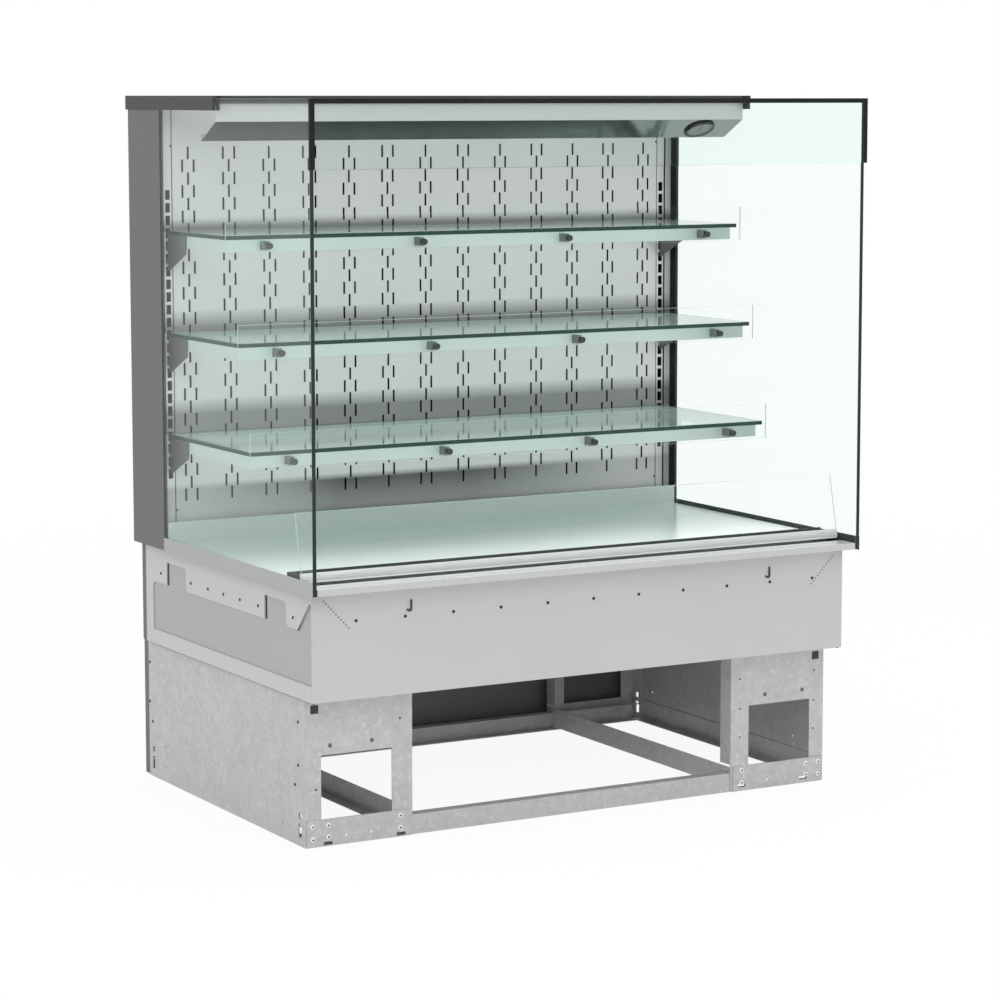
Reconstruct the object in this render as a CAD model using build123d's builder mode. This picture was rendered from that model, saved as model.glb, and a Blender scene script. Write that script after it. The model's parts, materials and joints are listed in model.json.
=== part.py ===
# Heated self-service display case, free standing, millimetres.
# X runs from the left end to the right end, Y from the customer's side to the back, Z up.
# The origin is on the floor, under the middle of the case's outer box.

import os

from build123d import *

os.makedirs("parts", exist_ok=True)

# Overall sizes
width = 1219.2              # over the outer faces of the two end glasses
glass_bottom = 488.8        # floor to the lower edge of the end glasses
glass_top = 1387.0          # floor to the top edge of the glass box
wall_setback = 702.0        # front edge of the end glasses to the back wall
duct_depth = 130.0          # back wall to the rear cover
upright_reach = 27.3        # how far an upright reaches forward of the back wall
glass_thickness = 8.0
visor_overlap = 2.0         # what the visor stands out past each end glass
sheet = 1.5                 # ordinary sheet metal
heavy_sheet = 2.0           # sheet of the base and the shelf standards
seat_gap = 0.3              # what lies between a lifting piece and its seat

# Base frame
base_height = 283.0
base_inset = 22.5           # end glass face in to the base's side panel
base_setback = 86.5         # glass front back to the face of the front posts
base_back = 817.0           # glass front back to the rear face of the rear posts
base_flange = 25.0
post_width = 225.8
post_return = 37.5
post_return_gap = 5.0       # top of a cross angle to the return above it
window_width = 148.5
window_top = 172.5
window_bottom = 51.0
window_margin = 34.0        # outer edge of a post to its window
rail_height = 38.0
rail_depth = 25.0
angle_height = 42.0         # upright leg of the angles between the rails
angle_width = 26.0
angle_lift = 8.0            # floor to the underside of the angles
foot_plate_width = 217.0
foot_plate_inset = 3.5
plug_size = 14.0
plug_inset = 13.7
plug_drop = 15.0            # top of a post to the top of its plug hole
plug_fit = 0.2
plug_head = 1.0             # thickness and margin of a plug's head
plug_depth = 6.0
rear_pan_depth = 21.0
side_holes_inset = 21.0     # face of a post to the middle of the holes beside it
side_hole_width = 12.0
side_hole_heights = ((17.0, 43.0), (52.0, 63.0))

# Tub under the deck
tub_inset = 14.5            # end glass face in to the tub's side skin
tub_top = 487.0
tub_setback = 36.4          # glass front back to the apron
tub_rear = 805.0            # glass front back to the tub's rear cover
tub_pan_depth = 18.5
side_skin = 3.5
recess_depth = 2.0
recess_back = 769.0
recess_bottom = 314.0
strip_bottom = 412.0
strip_corner = 12.0         # rounding of the strip's lower corners
strip_end = 92.0            # lower end of the slanted front edge of the strip
hook_slot_width = 8.0
hook_slot_height = 46.0
hook_slots_y = (229.5, 690.5)
notch_widths = (85.0, 86.0)
board = 25.0                # insulated boards of the tub
apron_flange = 20.0
front_hook_x = (-389.0, 416.4)
front_hook_top = 461.0
front_hook_stem = 17.0      # straight part of a hook above its bend
front_hook_radius = 4.0     # middle of the wire round the bend
front_hook_wire = 3.0

# Rim, deck and their fittings
rim_height = 13.0
rim_depth = 47.0
channel_skirt_bottom = 485.0
channel_skirt_top = 513.0
channel_lip_top = 500.0
channel_web = 40.0
channel_sheet = 1.2
channel_fit = 0.2           # end glass to the lip of its channel
deck_top = 505.0
deck_front = 123.0
deck_back = 672.5           # glass front back to the upstand at the rear of the deck
deck_upstand = 38.0
deck_clearance = 1.0
sill_top = 517.5            # floor to the top of the dark sill in front of the deck
sill_foot = 18.0
rail_front = 62.5
rail_bottom = 503.0
rail_top = 521.0
rail_back = 98.0
rail_lean = 0.225           # how far the rail and its guard lean back for each unit of height
guard_thickness = 4.0
deck_guard_bottom = 506.0
deck_guard_height = 127.5
guard_margin = 10.5

# Uprights, back wall and shelf standards
upright_return = 5.0
upright_flange = 14.0
upright_rear_flange = 16.0
standard_offset = 31.0      # end glass face in to the middle of a standard
standard_width = 17.0
standard_depth = 14.0
standard_slots = 23
slot_pitch = 25.4
standard_slot_width = 9.5
standard_slot_height = 19.0
standard_slot_start = 627.5
wall_side_gap = 2.5
wall_flange = 15.0
wall_sheet = 1.2
cluster_count = 13
cluster_pitch = 88.9
air_rows = 28
air_slot_height = 25.0
air_slot_width = 4.5
air_slot_spread = 12.5
air_slot_top = 1291.0
cover_margin = 5.0
cover_hem = 10.0

# Top
cap_top = 1392.0
cap_front = 413.0
cap_side_drop = 28.0
cap_front_drop = 15.0
cap_rear_overhang = 7.5
end_piece_depth = 9.5
end_piece_width = 12.0
end_piece_fit = 0.2
visor_bottom = 1260.0
canopy_front = 418.0
canopy_lip_bottom = 1342.5
canopy_slope_depth = 70.0
canopy_slope_drop = 37.5
canopy_return = 14.0
lamp_length = 1010.0
lamp_setback = 560.0
lamp_width = 30.0
lamp_height = 22.0
lamp_chamfer = 4.0
lamp_shoulder = 16.0        # height of the straight part of the lamp's side
lamp_nose = 12.0

# Dial thermometer on the slope of the canopy
dial_x = 515.3
dial_bezel_radius = 33.0
dial_body_radius = 28.0
dial_body_depth = 16.0
dial_hole_gap = 0.4         # body of the thermometer to the edge of its hole
bezel_height = 5.0
bezel_lip = 5.0
dial_lens_thickness = 1.6
lens_fit = 0.1
pointer_length = 20.0
pointer_tail = 7.0
pointer_tail_width = 2.8
pointer_tip_width = 0.8
pointer_boss = 3.0
pointer_thickness = 0.8
pointer_shaft_radius = 1.0
pointer_shaft_length = 5.0
pointer_back = 1.2          # canopy face to the back of the pointer
dial_face = 0.5             # canopy face to the dial
shaft_clearance = 0.05

# Shelves
shelf_count = 3
shelf_top_height = 1125.6   # floor to the top of the uppermost glass plate
shelf_slots_apart = 8
shelf_front_top = 414.0     # glass front back to the front edge of the uppermost plate
shelf_step = 50.8           # how much deeper each lower shelf is
plate_thickness = 8.0
plate_side_gap = 25.0       # end glass face in to the edge of a plate
plate_wall_gap = 2.0
frame_height = 25.0
frame_setback = 13.0
frame_side_gap = 32.5
frame_ledge = 12.0
bracket_thickness = 3.0
bracket_length = 88.0
bracket_nose = 35.0
bracket_height = 73.0
bracket_heel = 4.0          # level part at the foot of a bracket
hook_slot_index = 18        # which slot of a standard the top hook of the upper shelf sits in
hook_reach = 4.0            # depth of a hook behind its slot
hook_height = 9.5
hook_drop = 8.0             # how far a hook reaches down behind its slot
shelf_guard_height = 71.0
shelf_guard_above = 36.0
shelf_guard_side_gap = 21.5
shelf_guard_ahead = 6.0     # front edge of a plate to the back of its guard
standoff_count = 4
standoff_pitch = 333.0
standoff_drop = 20.0
spacer_width = 12.0
spacer_height = 17.0
knob_radius = 6.5
knob_length = 13.0
neck_size = 5.0
neck_clearance = 0.8

# Warm air works under the deck
fan_x = 290.0
fan_height = 398.0          # floor to the fan axles
fan_plate_setback = 560.0
fan_bore_radius = 57.0
fan_radius = 54.5
fan_hub_radius = 19.0
fan_hub_depth = 20.0
fan_back = 4.0              # middle of the fan plate's front to the back of a hub
fan_blades = 5
fan_blade_width = 25.6
fan_blade_pitch = 35.0
fan_blade_root = 2.0        # how deep a blade sits in its hub
fan_blade_sheet = 1.2
fan_axle_radius = 3.0
fan_axle_reach = 8.0        # front of the fan plate to the end of a motor's shaft
hub_wall = 3.0
motor_radius = 21.0
motor_length = 30.0
motor_stand = 4.0           # back of the fan plate to a motor
motor_arms = 3
motor_arm_width = 8.0
motor_arm_reach = 65.0
motor_arm_sheet = 3.0
motor_foot = 6.0
heater_setback = 640.0
heater_height = 340.0
heater_half_length = 430.0
heater_tube_radius = 4.5
heater_tubes = 3
heater_tube_pitch = 32.0
heater_rows = 2
heater_row_pitch = 50.0
heater_foot = 24.0
terminal_box_size = (120.0, 60.0, 75.0)
terminal_box_x = 480.0
gland_radius = 10.0
gland_nut = 3.0
gland_nut_radius = 14.0
gland_bore_radius = 7.0

# Places worked out from the sizes above
half = width / 2
wall_back = wall_setback + duct_depth
end_glass_depth = wall_setback - upright_reach
cap_rear = wall_back + sheet + cap_rear_overhang
glass_front = glass_thickness - (cap_rear + glass_thickness) / 2


def at(setback):
    """The Y of a place that lies so far behind the front edges of the end glasses."""
    return glass_front + setback


tub_half = half - tub_inset
base_half = half - base_inset
tub_inner = tub_half - side_skin
channel_inner = half - glass_thickness - channel_fit - channel_sheet
between_channels = channel_inner - seat_gap
wall_half = half - standard_offset - standard_width / 2 - wall_side_gap
cap_under = cap_top - sheet
shelf_pitch = shelf_slots_apart * slot_pitch


def save(piece, name):
    """Label one finished piece and write it out."""
    piece.label = name
    export_step(piece, "parts/" + name + ".step")


def block(x0, x1, y0, y1, z0, z1, mode=Mode.ADD):
    """A box between two corners, in the part being built."""
    middle = ((x0 + x1) / 2, (y0 + y1) / 2, (z0 + z1) / 2)
    with Locations(middle):
        Box(x1 - x0, y1 - y0, z1 - z0, mode=mode)


def folded_profile(plane, bends, thickness):
    """The section of a folded sheet whose outer line runs through the bends, metal on the right."""
    with BuildSketch(plane) as profile:
        with BuildLine():
            line = Polyline(*bends)
            offset(line, amount=thickness, side=Side.RIGHT, kind=Kind.INTERSECTION)
        make_face()
    return profile.sketch


def outline(plane, corners):
    """A flat face with straight sides through the corners."""
    with BuildSketch(plane) as face:
        with BuildLine():
            Polyline(*corners, close=True)
        make_face()
    return face.sketch


def left_and_right(piece):
    """The piece and its mirror image, as two solids of one group."""
    return Compound(children=[piece, mirror(piece, about=Plane.YZ)])


def front_and_back(piece, middle):
    """The piece and its image across the plane half way between front and back."""
    return Compound(children=[piece, mirror(piece, about=Plane.XZ.offset(-middle))])


# Base: side panels, posts, rails and angles, all galvanised sheet

base_middle = at((base_setback + base_back) / 2)
post_front = at(base_setback)
post_inner = base_half - post_width


def cut_side_holes():
    """Cut the holes near the floor at both ends of the left side through the piece being built."""
    for middle in (at(base_setback) + side_holes_inset, at(base_back) - side_holes_inset):
        for bottom, top in side_hole_heights:
            block(-base_half - 1, -base_half + 2 * heavy_sheet + 1, middle - side_hole_width / 2,
                  middle + side_hole_width / 2, bottom, top, Mode.SUBTRACT)


def make_base_side():
    """Left side panel, with a flange at the top that the tub stands on."""
    bends = [
        (-base_half + base_flange, base_height),
        (-base_half, base_height),
        (-base_half, 0),
    ]
    front = at(base_setback) + heavy_sheet
    back = at(base_back) - heavy_sheet
    with BuildPart() as side:
        extrude(folded_profile(Plane.XZ.offset(-back), bends[::-1], heavy_sheet), amount=back - front)
        cut_side_holes()
    return side.part


def make_post():
    """Front left post: a windowed face with a return at each side."""
    face_left = -base_half
    outer_left = -base_half + heavy_sheet
    inner_right = -post_inner
    back = post_front + post_return
    top = base_height - heavy_sheet
    window_left = -base_half + window_margin
    with BuildPart() as post:
        block(face_left, inner_right, post_front, post_front + heavy_sheet, 0, base_height)
        block(outer_left, outer_left + heavy_sheet, post_front, back, rail_height, top)
        return_bottom = angle_lift + angle_height
        block(inner_right - heavy_sheet, inner_right, post_front, back,
              return_bottom + post_return_gap, top)
        window_right = window_left + window_width
        block(window_left, window_right, post_front - 1, post_front + heavy_sheet + 1,
              window_bottom, window_top, Mode.SUBTRACT)
        plug_left = -base_half + plug_inset
        plug_top = base_height - plug_drop
        block(plug_left, plug_left + plug_size, post_front - 1, post_front + heavy_sheet + 1,
              plug_top - plug_size, plug_top, Mode.SUBTRACT)
        cut_side_holes()
    return post.part


def make_plug():
    """Square plug that closes the corner hole of a post."""
    left = -base_half + plug_inset
    right = left + plug_size
    top = base_height - plug_drop
    bottom = top - plug_size
    with BuildPart() as plug:
        block(left + plug_fit, right - plug_fit, post_front, post_front + plug_depth,
              bottom + plug_fit, top - plug_fit)
        block(left - plug_head, right + plug_head, post_front - plug_head, post_front,
              bottom - plug_head, top + plug_head)
    return plug.part


def make_base_rail():
    """Front rail: a channel on the floor, open to the back, behind the faces of the posts."""
    front = post_front + heavy_sheet
    bends = [
        (front + rail_depth, 0),
        (front, 0),
        (front, rail_height),
        (front + rail_depth, rail_height),
    ]
    length = 2 * (base_half - heavy_sheet)
    with BuildPart() as rail:
        extrude(folded_profile(Plane.YZ.offset(-length / 2), bends, heavy_sheet), amount=length)
    return rail.part


def make_cross_angle():
    """Left angle between the front and back rails, coped over both."""
    front = post_front + heavy_sheet
    back = 2 * base_middle - front
    upright = -post_inner
    top = angle_lift + angle_height
    bends = [
        (upright - angle_width, angle_lift),
        (upright, angle_lift),
        (upright, top),
    ]
    with BuildPart() as angle:
        profile = folded_profile(Plane.XZ.offset(-back), bends[::-1], heavy_sheet)
        extrude(profile, amount=back - front)
        for end in (front, back - rail_depth):
            block(upright - angle_width - 1, upright + heavy_sheet + 1, end, end + rail_depth,
                  0, rail_height, Mode.SUBTRACT)
    return angle.part


def make_side_angle():
    """Left angle inside the side panel, between the returns of its two posts."""
    front = post_front + post_return + seat_gap
    back = 2 * base_middle - front
    left = -base_half + heavy_sheet
    top = angle_lift + angle_height
    bends = [
        (left + angle_width, angle_lift),
        (left, angle_lift),
        (left, top),
    ]
    with BuildPart() as angle:
        extrude(folded_profile(Plane.XZ.offset(-back), bends, heavy_sheet), amount=back - front)
    return angle.part


def make_foot_plate():
    """Plate across the foot of the front left post."""
    left = -base_half + foot_plate_inset
    with BuildPart() as plate:
        block(left, left + foot_plate_width, post_front - heavy_sheet, post_front, 0, window_bottom)
    return plate.part


def make_pan(half_width, front, depth, bottom, top):
    """Shallow cover pan, open to the front, that closes the back of the base or the tub."""
    with BuildPart() as pan:
        block(-half_width, half_width, front, front + depth, bottom, top)
        block(-half_width + sheet, half_width - sheet, front, front + depth - sheet,
              bottom + sheet, top - sheet, Mode.SUBTRACT)
    return pan


def make_base():
    side = make_base_side()
    save(side, "base_side_left")
    save(mirror(side, about=Plane.YZ), "base_side_right")
    post = make_post()
    back_post = mirror(post, about=Plane.XZ.offset(-base_middle))
    save(post, "base_post_front_left")
    save(mirror(post, about=Plane.YZ), "base_post_front_right")
    save(back_post, "base_post_rear_left")
    save(mirror(back_post, about=Plane.YZ), "base_post_rear_right")
    save(front_and_back(make_base_rail(), base_middle), "base_rails")
    angles = [make_cross_angle(), make_side_angle()]
    mirrored = [mirror(angle, about=Plane.YZ) for angle in angles]
    save(Compound(children=angles + mirrored), "base_angles")
    foot_plate = make_foot_plate()
    plug = make_plug()
    save(left_and_right(foot_plate), "base_foot_plates")
    save(left_and_right(plug), "corner_plugs")
    pan = make_pan(base_half, at(base_back), rear_pan_depth, heavy_sheet, base_height - heavy_sheet)
    save(pan.part, "base_rear_panel")


# Tub: skins, insulated boards, rim and the channels that hold the end glasses

tub_front = at(tub_setback)
tub_back = at(tub_rear)


def make_apron():
    """Front skin of the tub, folded back at the top and the bottom."""
    bends = [
        (tub_front + apron_flange, base_height),
        (tub_front, base_height),
        (tub_front, tub_top),
        (tub_front + apron_flange, tub_top),
    ]
    with BuildPart() as apron:
        profile = folded_profile(Plane.YZ.offset(-tub_half), bends, sheet)
        extrude(profile, amount=2 * tub_half)
        corner_back = tub_front + apron_flange + 1
        for x0, x1 in ((-tub_half - 1, -tub_inner), (tub_inner, tub_half + 1)):
            block(x0, x1, tub_front + sheet, corner_back, base_height - 1, tub_top + 1, Mode.SUBTRACT)
    return apron.part


def gland_place():
    """Middle of the cable gland, on the outer face of the tub's rear cover."""
    rear = tub_back + tub_pan_depth
    height = base_height + board + terminal_box_size[2] / 2
    return (terminal_box_x, rear, height)


def cut_gland_hole():
    """Cut the six-sided gland hole through the piece being built."""
    x, rear, height = gland_place()
    with BuildSketch(Plane.XZ.offset(-rear - 1)) as hole:
        with Locations((x, height)):
            RegularPolygon(gland_radius + neck_clearance, 6)
    extrude(hole.sketch, amount=3 * board, mode=Mode.SUBTRACT)


def tub_recess(plane):
    """Outline of the recess in the side skin, under a strip with two notches and a slanted end."""
    front = tub_front + sheet
    back = at(recess_back)
    notch_top = strip_bottom + hook_slot_height
    slant_top = strip_bottom + at(strip_end) - front
    corners = [(front, slant_top), (front, recess_bottom), (back, recess_bottom), (back, strip_bottom)]
    rounded = [(back, strip_bottom)]
    for slot, notch in zip(hook_slots_y[::-1], notch_widths[::-1]):
        corners += [(at(slot), strip_bottom), (at(slot), notch_top), (at(slot) - notch, notch_top),
                    (at(slot) - notch, strip_bottom)]
        rounded.append((at(slot) - notch, strip_bottom))
    corners.append((at(strip_end), strip_bottom))
    with BuildSketch(plane) as recess:
        with BuildLine():
            Polyline(*corners, close=True)
        make_face()
        near = [v for v in recess.vertices() if any(abs(v.X - x) + abs(v.Y - y) < 0.01 for x, y in rounded)]
        fillet(near, radius=strip_corner)
    return recess.sketch


def make_tub_side():
    """Left side skin: a raised border round a recess, with slots where a trim panel hooks on."""
    front = tub_front + sheet
    face = -tub_half
    with BuildPart() as side:
        block(face, face + side_skin, front, tub_back, base_height, tub_top)
        extrude(tub_recess(Plane.YZ.offset(face)), amount=recess_depth, mode=Mode.SUBTRACT)
        for slot in hook_slots_y:
            block(face - 1, face + side_skin + 1, at(slot), at(slot) + hook_slot_width,
                  strip_bottom, strip_bottom + hook_slot_height, Mode.SUBTRACT)
    return side.part


def make_tub_boards():
    """The four insulated wall boards inside the skins."""
    front = tub_front + sheet
    floor_top = base_height + board
    with BuildPart() as front_board:
        block(-tub_inner, tub_inner, front, front + board, base_height + sheet, tub_top - sheet)
    with BuildPart() as rear_board:
        block(-tub_inner, tub_inner, tub_back - board, tub_back, base_height, tub_top)
        cut_gland_hole()
    with BuildPart() as side_board:
        block(-tub_inner, board - tub_inner, front + board, tub_back - board, floor_top, tub_top)
    other_side = mirror(side_board.part, about=Plane.YZ)
    return Compound(children=[front_board.part, rear_board.part, side_board.part, other_side])


def make_tub_floor():
    """Insulated floor board, which stands on the flanges of the base."""
    with BuildPart() as floor_board:
        block(-tub_inner, tub_inner, tub_front + sheet + board, tub_back - board,
              base_height, base_height + board)
    return floor_board.part


def make_front_hook(x):
    """Small hook on the apron, bent from square wire to the left, that a front panel hangs from."""
    half_wire = front_hook_wire / 2
    bend = front_hook_radius
    face = Plane.XZ.offset(-tub_front)
    with BuildPart() as hook:
        with BuildSketch(face):
            with Locations((x, front_hook_top)):
                Rectangle(front_hook_wire, front_hook_stem, align=(Align.CENTER, Align.MAX))
            with Locations((x - bend, front_hook_top - front_hook_stem)):
                with BuildSketch(mode=Mode.PRIVATE) as ring:
                    RegularPolygon(bend + half_wire, 12)
                    RegularPolygon(bend - half_wire, 12, mode=Mode.SUBTRACT)
                    Rectangle(3 * bend, 2 * bend, align=(Align.CENTER, Align.MIN), mode=Mode.SUBTRACT)
                add(ring.sketch)
        extrude(amount=front_hook_wire)
    return hook.part


def make_rim():
    """Light rim along the front of the deck."""
    top = tub_top + rim_height
    bends = [
        (tub_front + apron_flange, tub_top),
        (at(0), tub_top),
        (at(0), top),
        (at(rim_depth), top),
    ]
    web_edge = half - channel_web - seat_gap
    with BuildPart() as rim:
        profile = folded_profile(Plane.YZ.offset(-between_channels), bends, sheet)
        extrude(profile, amount=2 * between_channels)
        for x0, x1 in ((-half, -web_edge), (web_edge, half)):
            block(x0, x1, at(sheet), at(rim_depth) + apron_flange, tub_top - 1, tub_top + sheet,
                  Mode.SUBTRACT)
    return rim.part


def make_glass_channel():
    """Left channel: a skirt outside the end glass, a web under it and a lip inside it."""
    skirt_outer = -half - channel_sheet
    lip_outer = -half + glass_thickness + channel_fit
    length = end_glass_depth
    with BuildPart() as channel:
        block(skirt_outer, -half, at(0), at(length), channel_skirt_bottom, channel_skirt_top)
        block(-half, -half + channel_web, at(sheet), at(length), tub_top, tub_top + sheet)
        block(lip_outer, lip_outer + channel_sheet, at(0), at(length), tub_top, channel_lip_top)
    return channel.part


def make_sill():
    """Dark sill across the front of the deck, which stands on the webs of the channels."""
    back = at(deck_front) - deck_clearance
    face = back - sheet
    foot = tub_top + sheet
    with BuildPart() as sill:
        block(-channel_inner, channel_inner, face, back, foot, sill_top)
        block(-channel_inner, channel_inner, face - sill_foot, face, foot, foot + sheet)
    return sill.part


def make_tub():
    save(make_apron(), "tub_apron")
    side = make_tub_side()
    save(side, "tub_side_left")
    save(mirror(side, about=Plane.YZ), "tub_side_right")
    save(make_tub_boards(), "tub_wall_boards")
    save(make_tub_floor(), "tub_floor")
    pan = make_pan(tub_half, tub_back, tub_pan_depth, base_height + sheet, tub_top)
    with pan:
        cut_gland_hole()
    save(pan.part, "tub_back")
    hooks = [make_front_hook(x) for x in front_hook_x]
    save(Compound(children=hooks), "front_hooks")
    save(make_rim(), "rim")
    channel = make_glass_channel()
    save(Compound(children=[channel, mirror(channel, about=Plane.YZ), make_sill()]), "glass_channels")


# Deck: the lift-out plate, the rail in front of it and the clear guard on the rail

def make_deck_plate():
    """Tray turned over, whose sides stand on the glass channels, with an upstand at the rear."""
    edge = channel_inner - deck_clearance
    bottom = tub_top + sheet + seat_gap
    front = at(deck_front)
    back = at(deck_back)
    with BuildPart() as deck:
        block(-edge, edge, front, back, bottom, deck_top)
        block(-edge + sheet, edge - sheet, front + sheet, back - sheet, bottom - 1,
              deck_top - sheet, Mode.SUBTRACT)
        block(-edge, edge, back - sheet, back, deck_top, deck_top + deck_upstand)
    return deck.part


def make_deck_rail():
    """Rail in front of the sill: a leaning face, a web and a leg that stands on the channels."""
    bends = [
        (at(rail_back), tub_top + sheet),
        (at(rail_back), rail_bottom),
        (at(rail_front), rail_bottom),
        (at(rail_front) + rail_lean * (rail_top - rail_bottom), rail_top),
    ]
    with BuildPart() as rail:
        profile = folded_profile(Plane.YZ.offset(-channel_inner), bends, sheet)
        extrude(profile, amount=2 * channel_inner)
    return rail.part


def make_deck_guard():
    """Clear guard that leans against the face of the deck rail."""
    slant = (1 + rail_lean ** 2) ** 0.5
    foot_setback = rail_front + rail_lean * (deck_guard_bottom - rail_bottom)
    foot = (0, at(foot_setback), deck_guard_bottom)
    plane = Plane(origin=foot, x_dir=(1, 0, 0), z_dir=(0, -1 / slant, rail_lean / slant))
    guard_half = half - guard_margin
    with BuildPart() as guard:
        with BuildSketch(plane):
            Rectangle(2 * guard_half, deck_guard_height, align=(Align.CENTER, Align.MIN))
        extrude(amount=guard_thickness)
    return guard.part


def make_deck():
    save(make_deck_plate(), "deck_plate")
    save(make_deck_rail(), "deck_rail")
    save(make_deck_guard(), "deck_guard")


# Uprights, back wall, standards and rear cover

def make_upright():
    """Left upright cover, folded from one sheet, from the rear flange round to the wall."""
    left = -half
    bends = [
        (left + upright_rear_flange, at(wall_back)),
        (left, at(wall_back)),
        (left, at(end_glass_depth + seat_gap)),
        (left + upright_return, at(end_glass_depth + seat_gap)),
        (left + upright_return, at(wall_setback)),
        (left + upright_return + upright_flange, at(wall_setback)),
    ]
    with BuildPart() as upright:
        with BuildSketch(Plane.XY.offset(tub_top)):
            with BuildLine():
                line = Polyline(*bends)
                offset(line, amount=sheet, side=Side.LEFT, kind=Kind.INTERSECTION)
            make_face()
        extrude(amount=cap_under - tub_top)
    return upright.part


def make_standard():
    """Left shelf standard: a slotted channel that stands on the tub."""
    middle = -half + standard_offset
    front = at(wall_setback)
    bends = [
        (middle - standard_width / 2, front + standard_depth),
        (middle - standard_width / 2, front),
        (middle + standard_width / 2, front),
        (middle + standard_width / 2, front + standard_depth),
    ]
    last_slot = standard_slot_start + (standard_slots - 1) * slot_pitch
    slots_middle = (standard_slot_start + last_slot + standard_slot_height) / 2
    with BuildPart() as standard:
        with BuildSketch(Plane.XY.offset(tub_top)):
            with BuildLine():
                line = Polyline(*bends)
                offset(line, amount=heavy_sheet, side=Side.LEFT, kind=Kind.INTERSECTION)
            make_face()
        extrude(amount=cap_under - tub_top)
        with BuildSketch(Plane.XZ.offset(-front)):
            with Locations((middle, slots_middle)):
                with GridLocations(0, slot_pitch, 1, standard_slots):
                    Rectangle(standard_slot_width, standard_slot_height)
        extrude(amount=-heavy_sheet, mode=Mode.SUBTRACT)
    return standard.part


def air_slot_places():
    """Centres of the air slots: in every second row a cluster has one slot, in the next two."""
    places = []
    first = -(cluster_count - 1) / 2 * cluster_pitch
    for row in range(air_rows):
        height = air_slot_top - air_slot_height / 2 - row * slot_pitch
        for cluster in range(cluster_count):
            middle = first + cluster * cluster_pitch
            if (row + cluster) % 2 == 0:
                places.append((middle, height))
            else:
                places.append((middle - air_slot_spread, height))
                places.append((middle + air_slot_spread, height))
    return places


def make_back_wall():
    """Slotted back wall between the standards, flanged back at both sides."""
    front = at(wall_setback)
    with BuildPart() as wall:
        with BuildSketch(Plane.XZ.offset(-front)):
            with Locations((0, (tub_top + cap_under) / 2)):
                Rectangle(2 * wall_half, cap_under - tub_top)
            with Locations(*air_slot_places()):
                Rectangle(air_slot_width, air_slot_height, mode=Mode.SUBTRACT)
        extrude(amount=-wall_sheet)
        for x0 in (-wall_half, wall_half - wall_sheet):
            block(x0, x0 + wall_sheet, front + wall_sheet, front + wall_flange, tub_top, cap_under)
    return wall.part


def make_rear_cover():
    """Plain rear cover of the air duct, with its four edges folded in."""
    half_cover = half - cover_margin
    outer = at(wall_back) + sheet
    bottom = tub_top + seat_gap
    top = cap_under - seat_gap
    with BuildPart() as cover:
        block(-half_cover, half_cover, at(wall_back), outer, bottom, top)
        hem = (-half + upright_rear_flange + seat_gap, half - upright_rear_flange - seat_gap)
        for z0 in (bottom, top - sheet):
            block(hem[0], hem[1], at(wall_back) - cover_hem, at(wall_back), z0, z0 + sheet)
    return cover.part


def make_end_glass():
    """Left end glass."""
    with BuildPart() as glass:
        block(-half, -half + glass_thickness, at(0), at(end_glass_depth), glass_bottom, glass_top)
    return glass.part


def make_upper_box():
    glass = make_end_glass()
    save(glass, "end_glass_left")
    save(mirror(glass, about=Plane.YZ), "end_glass_right")
    upright = make_upright()
    save(upright, "upright_left")
    save(mirror(upright, about=Plane.YZ), "upright_right")
    save(left_and_right(make_standard()), "shelf_standards")
    save(make_back_wall(), "back_wall")
    save(make_rear_cover(), "rear_cover")


# Top: cap, canopy, lamp, top glass and visor glass

def make_cap():
    """Cap over the back half of the case, folded down on all four sides."""
    outer = half + sheet
    rear = at(cap_rear)
    front = at(cap_front)
    front_half = channel_inner
    with BuildPart() as cap:
        block(-outer, outer, front, rear, cap_under, cap_top)
        for x0 in (-outer, half):
            block(x0, x0 + sheet, front, rear, cap_top - cap_side_drop, cap_under)
        block(-front_half, front_half, front, front + sheet, cap_top - cap_front_drop, cap_under)
        block(-half, half, rear - sheet, rear, cap_top - cap_front_drop, cap_under)
    return cap.part


def make_end_piece():
    """Black end piece under the left front corner of the cap, which straddles the end glass."""
    left = -half - sheet
    bottom = cap_top - cap_side_drop
    back = at(cap_front) - seat_gap
    front = back - end_piece_depth
    with BuildPart() as piece:
        block(left, left + end_piece_width + sheet, front, back, bottom, cap_top)
        block(-half - end_piece_fit, -half + glass_thickness + end_piece_fit, front - 1, back + 1,
              bottom - 1, glass_top + end_piece_fit, Mode.SUBTRACT)
    return piece.part


def canopy_slope():
    """The two ends of the canopy's slope, as setback and height."""
    start = (at(canopy_front), canopy_lip_bottom)
    end = (start[0] + canopy_slope_depth, start[1] - canopy_slope_drop)
    return start, end


def dial_plane():
    """Plane on the slope of the canopy, at the middle of the dial, looking out of the case."""
    start, end = canopy_slope()
    length = (canopy_slope_depth ** 2 + canopy_slope_drop ** 2) ** 0.5
    middle = (dial_x, (start[0] + end[0]) / 2, (start[1] + end[1]) / 2)
    normal = (0, -canopy_slope_drop / length, -canopy_slope_depth / length)
    return Plane(origin=middle, x_dir=(1, 0, 0), z_dir=normal)


def make_canopy():
    """Light canopy under the cap: an upright lip, a slope and a small return."""
    start, end = canopy_slope()
    bends = [
        (end[0], end[1] + canopy_return),
        end,
        start,
        (start[0], cap_under),
        (start[0] + canopy_return, cap_under),
    ]
    with BuildPart() as canopy:
        profile = folded_profile(Plane.YZ.offset(-channel_inner), bends, sheet)
        extrude(profile, amount=2 * channel_inner)
        with BuildSketch(dial_plane()):
            Circle(dial_body_radius + dial_hole_gap)
        extrude(amount=-2 * sheet, mode=Mode.SUBTRACT)
    return canopy.part


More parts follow.
